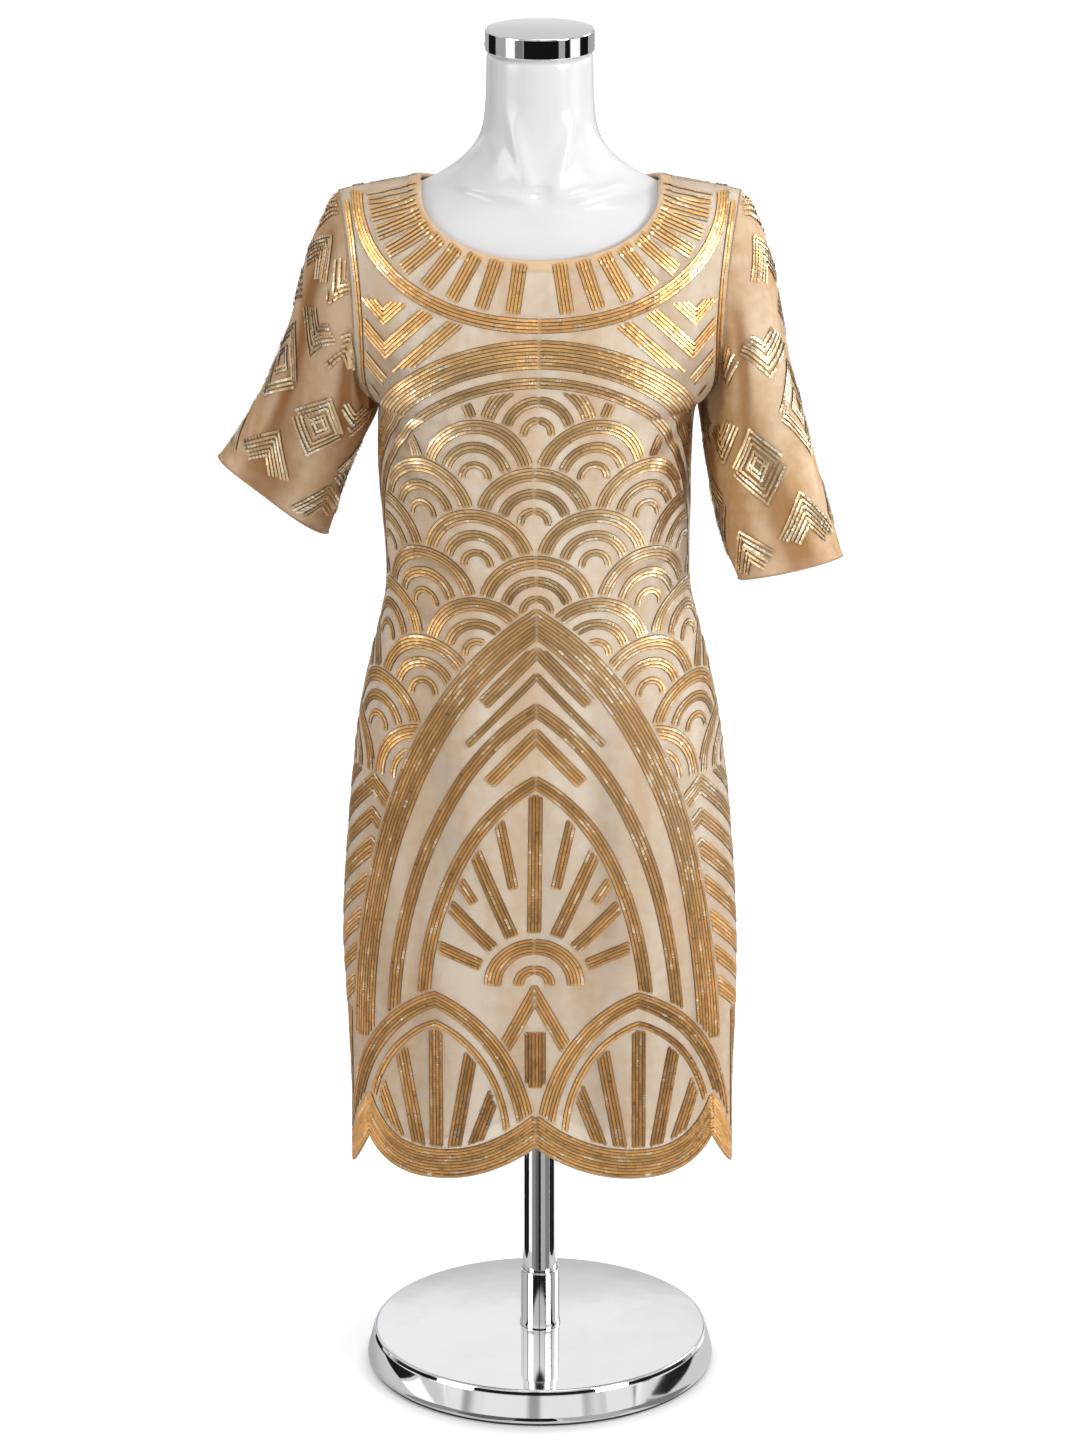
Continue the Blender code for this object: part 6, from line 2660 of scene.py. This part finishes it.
@dataclass
class Studio:
    """Pale floor, soft boxes, floor cards for the chrome to reflect, and the camera."""

    camera_place: tuple[float, float, float] = (0.0027, -5.1299, 2.3023)
    camera_pitch_deg: float = 18.2
    lens: float = 149.9
    floor_half: float = 30.0
    room_light: float = 0.5
    backdrop: float = 0.97

    def build(self) -> None:
        """Set up everything round the object."""
        bpy.context.scene.view_settings.view_transform = "Standard"
        self.floor()
        self.world()
        for box in SOFT_BOXES:
            self.soft_box(*box)
        for number, card in enumerate(FLOOR_CARDS):
            self.card(number, *card)
        self.camera()

    def put(self, name: str, data: bpy.types.ID, place: tuple, turn: tuple) -> Thing:
        """Place an object of the studio and turn it.

        Args:
            name: the object's name.
            data: its mesh, lamp or camera.
            place: where it stands.
            turn: its rotation about x, y and z.

        Returns:
            The new object.
        """
        obj = bpy.data.objects.new(name, data)
        obj.location, obj.rotation_euler = place, turn
        bpy.context.scene.collection.objects.link(obj)
        return obj

    def soft_box(
        self, name: str, place: tuple, target: tuple, size: float, power: float
    ) -> None:
        """Square area light that faces a target.

        Args:
            name: the lamp's name.
            place: where it stands.
            target: the point that it faces.
            size: side of the square in metres.
            power: power in watts.
        """
        data = bpy.data.lights.new(name, "AREA")
        data.size, data.energy = size, power
        away = np.array(place) - np.array(target)
        pitch = math.atan2(math.hypot(away[0], away[1]), away[2])
        self.put(name, data, place, (pitch, 0, math.atan2(away[0], -away[1])))

    def stage_plane(self, name: str, corners: Array, colour: Colour) -> tuple:
        """Plain matt quad that isn't part of the object, with its bench and shader.

        Args:
            name: the quad's name.
            corners: its four corners.
            colour: its colour.

        Returns:
            The object, its bench and its shader.
        """
        mesh = bpy.data.meshes.new(name)
        mesh.from_pydata(corners.tolist(), [], [(0, 1, 2, 3)])
        material, bench, shader = start_material(name)
        bench.fill(shader, {"Base Color": (*colour, 1), "Emission Color": (1, 1, 1, 1)})
        bench.fill(shader, {"Roughness": 0.9, "Specular IOR Level": 0.0})
        mesh.materials.append(material)
        obj = self.put(name, mesh, (0, 0, 0), (0, 0, 0))
        return obj, bench, shader

    def floor(self) -> None:
        """Wide pale floor; its own glow, for the camera alone, grows with distance. Close round the
        base the glow is weak, more so in front, which paints a contact shadow there.
        """
        h = self.floor_half
        corners = np.array([(-h, -h, 0), (h, -h, 0), (h, h, 0), (-h, h, 0)]) - [0, 0, 0.0002]
        _, bench, shader = self.stage_plane("floor", corners, (0.8, 0.8, 0.8))
        places = {0: bench.add("TexCoord")["Object"], 1: (0.003, -0.014, 0)}
        reach = bench.add("VectorMath", places, operation="DISTANCE")["Value"]
        # Painted contact shadow: weak glow just round the base, centred a little in front of it.
        near = bench.spread(reach, 0.150, 0.174, 0.08, 0.52)
        glow = bench.maths("ADD", near, bench.spread(reach, 0.18, 7.0, 0.0, 0.38))
        seen = bench.maths("MULTIPLY", glow, bench.add("LightPath")["Is Camera Ray"])
        bench.fill(shader, {"Emission Strength": seen})

    def card(
        self, number: int, first: float, last: float, near: float, far: float, glow: float
    ) -> None:
        """Sector of the floor, dark or glowing, hidden from the camera and from soft light.

        Args:
            number: the card's place in the table.
            first: azimuth of one edge, in degrees from the front.
            last: azimuth of the other edge.
            near: distance of the near edge from the middle of the stand.
            far: distance of the far edge.
            glow: strength of its glow.
        """
        angle = np.radians([first, last, last, first])
        reach = np.array([near, near, far, far])
        corners = np.stack([reach * np.sin(angle), -reach * np.cos(angle), 0 * angle + 0.0004], 1)
        obj, bench, shader = self.stage_plane(f"card_{number}", corners, (0.015, 0.015, 0.016))
        bench.fill(shader, {"Emission Strength": glow})
        obj.visible_camera = obj.visible_diffuse = False
        obj.visible_shadow = obj.visible_transmission = False

    def world(self) -> None:
        """Even pale surroundings; in gloss, a bright band, panels and a dark strip.

        The strip hangs across the front and bows down to the sides, by 0.045 times the
        square of the angle from the front.
        """
        world = bpy.data.worlds.new("studio")
        world.use_nodes = True
        bench = NodeBench(world.node_tree)
        parts = bench.add("SeparateXYZ", {0: bench.add("TexCoord")["Generated"]})
        height = bench.maths("MULTIPLY_ADD", parts[2], 0.5, 0.5)
        room = bench.add("ValToRGB", {0: height})[0]
        stops = room.node.color_ramp.elements
        while len(stops) < len(ROOM_STOPS):
            stops.new(0.5)
        for stop, (at, level) in zip(stops, ROOM_STOPS):
            stop.position, stop.color = at, (level, level, level, 1)
        azimuth = bench.maths("ARCTAN2", parts[0], parts[1])
        panels = bench.maths("SINE", bench.maths("MULTIPLY_ADD", azimuth, 9.0, 0.8))
        slats = bench.maths("SINE", bench.maths("MULTIPLY_ADD", azimuth, 23.0, 0.3))
        both = bench.maths("MULTIPLY_ADD", slats, 0.35, panels)
        gaps = bench.spread(both, -1.15, -0.45, 0.42, 1.0)
        past = bench.maths("SUBTRACT", math.pi, bench.maths("ABSOLUTE", azimuth))
        bowed = bench.maths("MULTIPLY_ADD", bench.maths("MULTIPLY", past, past), 0.045, height)
        off_band = bench.maths("ABSOLUTE", bench.maths("SUBTRACT", bowed, 0.70))
        to_back = bench.spread(past, 1.9, 2.1, 0.02, 1.0)
        screen = bench.maths("MAXIMUM", to_back, bench.spread(off_band, 0.022, 0.034, 0.0, 1.0))
        gloss = bench.maths("MULTIPLY", bench.maths("MULTIPLY", room, gaps), screen)
        path = bench.add("LightPath")
        soft = bench.choose(path["Is Camera Ray"], self.room_light, self.backdrop)
        strength = bench.choose(path["Is Glossy Ray"], soft, gloss)
        background = world.node_tree.nodes["Background"]
        bench.fill(background, {"Color": (1, 1, 1, 1), "Strength": strength})
        bpy.context.scene.world = world

    def camera(self) -> None:
        """Camera a little above the shoulders, looking down at the dress."""
        data = bpy.data.cameras.new("camera")
        data.lens, data.sensor_width = self.lens, 36
        data.clip_start, data.clip_end = 0.05, 100
        turn = (math.radians(90 - self.camera_pitch_deg), 0, 0)
        bpy.context.scene.camera = self.put("camera", data, self.camera_place, turn)


# -------------------------------------------------------------------------------- assembly


def sew_panel(
    panel: WorkedPanel, finishes: Finishes, chance: np.random.Generator
) -> list[Thing]:
    """Lay the design on both halves of a panel and make its sequins and thread.

    Args:
        panel: the panel to sew on.
        finishes: every finish.
        chance: the source of random draws.

    Returns:
        The sequins, then the thread.
    """
    rows, shines, looks = [], [], []
    for hand in Hand:
        layout = SequinLayout(panel, hand)
        for part in DecoDesign(panel, hand).motifs():
            layout.lay(part)
        for path, shine, look in layout.rows:
            rows.append(even_steps(path, BODY_SEQUIN.step / MM) * [hand.value, 1])
            shines.append(shine)
            looks.append(look)
    arc, z = np.concatenate(rows).T * MM
    numbers = np.repeat(np.arange(len(rows)), [len(row) for row in rows])
    run = SequinRun(
        BODY_SEQUIN, panel.place(arc, z), panel.normal(arc, z), numbers,
        np.array(shines)[numbers], np.array(looks)[numbers], chance,
    )
    return run.make(panel.side.word, finishes, finishes.sequins, "net_cloth")


def sew_sleeve(
    sleeve: Sleeve, finishes: Finishes, chance: np.random.Generator
) -> list[Thing]:
    """Make the sequins and thread of one sleeve.

    Args:
        sleeve: the sleeve to sew on.
        finishes: every finish.
        chance: the source of random draws.

    Returns:
        The sequins, then the thread.
    """
    places, normals, shines = zip(*sleeve.sequin_rows())
    numbers = np.repeat(np.arange(len(places)), [len(row) for row in places])
    run = SequinRun(
        SLEEVE_SEQUIN, np.concatenate(places), np.concatenate(normals), numbers,
        np.array(shines)[numbers], numbers, chance, silver=1.0,
    )
    word = f"{sleeve.hand.word}_sleeve"
    return run.make(word, finishes, finishes.sleeve_sequins, "sleeve_net")


def panel_cords(panels: BodyPanels, finishes: Finishes) -> dict[Side, list[Thing]]:
    """Fine cords along each scalloped edge, and along the seams, which the front carries.

    Args:
        panels: the panels whose edges they follow.
        finishes: every finish.

    Returns:
        The cords of each side.
    """
    seam, hem = (1.3 * MM, 1.0 * MM), (1.6 * MM, 1.5 * MM)
    below = slice(panels.cut.yoke_cells * panels.finer, None)
    right, left = panels.shoulders(panels.finer)
    edges = [(f"{side.word}_hem_cord", side, -1, hem) for side in Side]
    edges += [
        ("side_seam_right", Side.FRONT, (below, 0), seam),
        ("side_seam_left", Side.FRONT, (below, -1), seam),
        ("shoulder_seam_right", Side.FRONT, (0, right), seam),
        ("shoulder_seam_left", Side.FRONT, (0, left), seam),
    ]
    made: dict[Side, list[Thing]] = {side: [] for side in Side}
    for name, side, edge, size in edges:
        net = panels.nets[side]
        path, up = net.grid[edge], net.normals[edge]
        made[side].append(swept(name, path, up, size, False, finishes.edge_thread, "net_cloth"))
    return made


def sleeve_cords(sleeve: Sleeve, finishes: Finishes) -> list[Thing]:
    """Cords over the armhole seam and round the cuff.

    Args:
        sleeve: the sleeve whose edges they follow.
        finishes: every finish.

    Returns:
        The armhole cord, then the cuff cord.
    """
    grid, normals, word = sleeve.cloth.grid, sleeve.cloth.normals, sleeve.hand.word
    armhole = (f"armhole_seam_{word}", grid[0], normals[1], (1.8 * MM, 1.5 * MM))
    cuff = (f"cuff_cord_{word}", grid[-1], normals[-1], (1.5 * MM, 1.7 * MM))
    return [swept(*edge, True, finishes.edge_thread, "sleeve_net") for edge in (armhole, cuff)]


def main() -> None:
    """Build the studio, the form and the stand, then the dress with its sequins."""
    logging.basicConfig(level=logging.INFO, format="%(message)s")
    Studio().build()
    finishes = Finishes()
    chance = np.random.default_rng(SEED)
    DressForm(finishes).build()
    Stand(finishes).build()
    cut = DressCut()
    fall = FallOfCloth(cut)
    panels = BodyPanels(cut, fall, finishes)
    cloth = panels.build()
    sleeves = [Sleeve(hand, finishes) for hand in Hand]
    tubes = [sleeve.build(panels.armhole(sleeve.hand)) for sleeve in sleeves]
    binding = NeckBinding(cut, finishes)
    strip, stitches = binding.build(), binding.stitches()
    cords = panel_cords(panels, finishes)
    for side, area in ((Side.FRONT, 0.35), (Side.BACK, 0.36)):
        trims = sew_panel(WorkedPanel(cut, fall, side), finishes, chance) + cords[side]
    for sleeve, tube in zip(sleeves, tubes):
        trims = sew_sleeve(sleeve, finishes, chance) + sleeve_cords(sleeve, finishes)


if __name__ == "__main__":
    main()
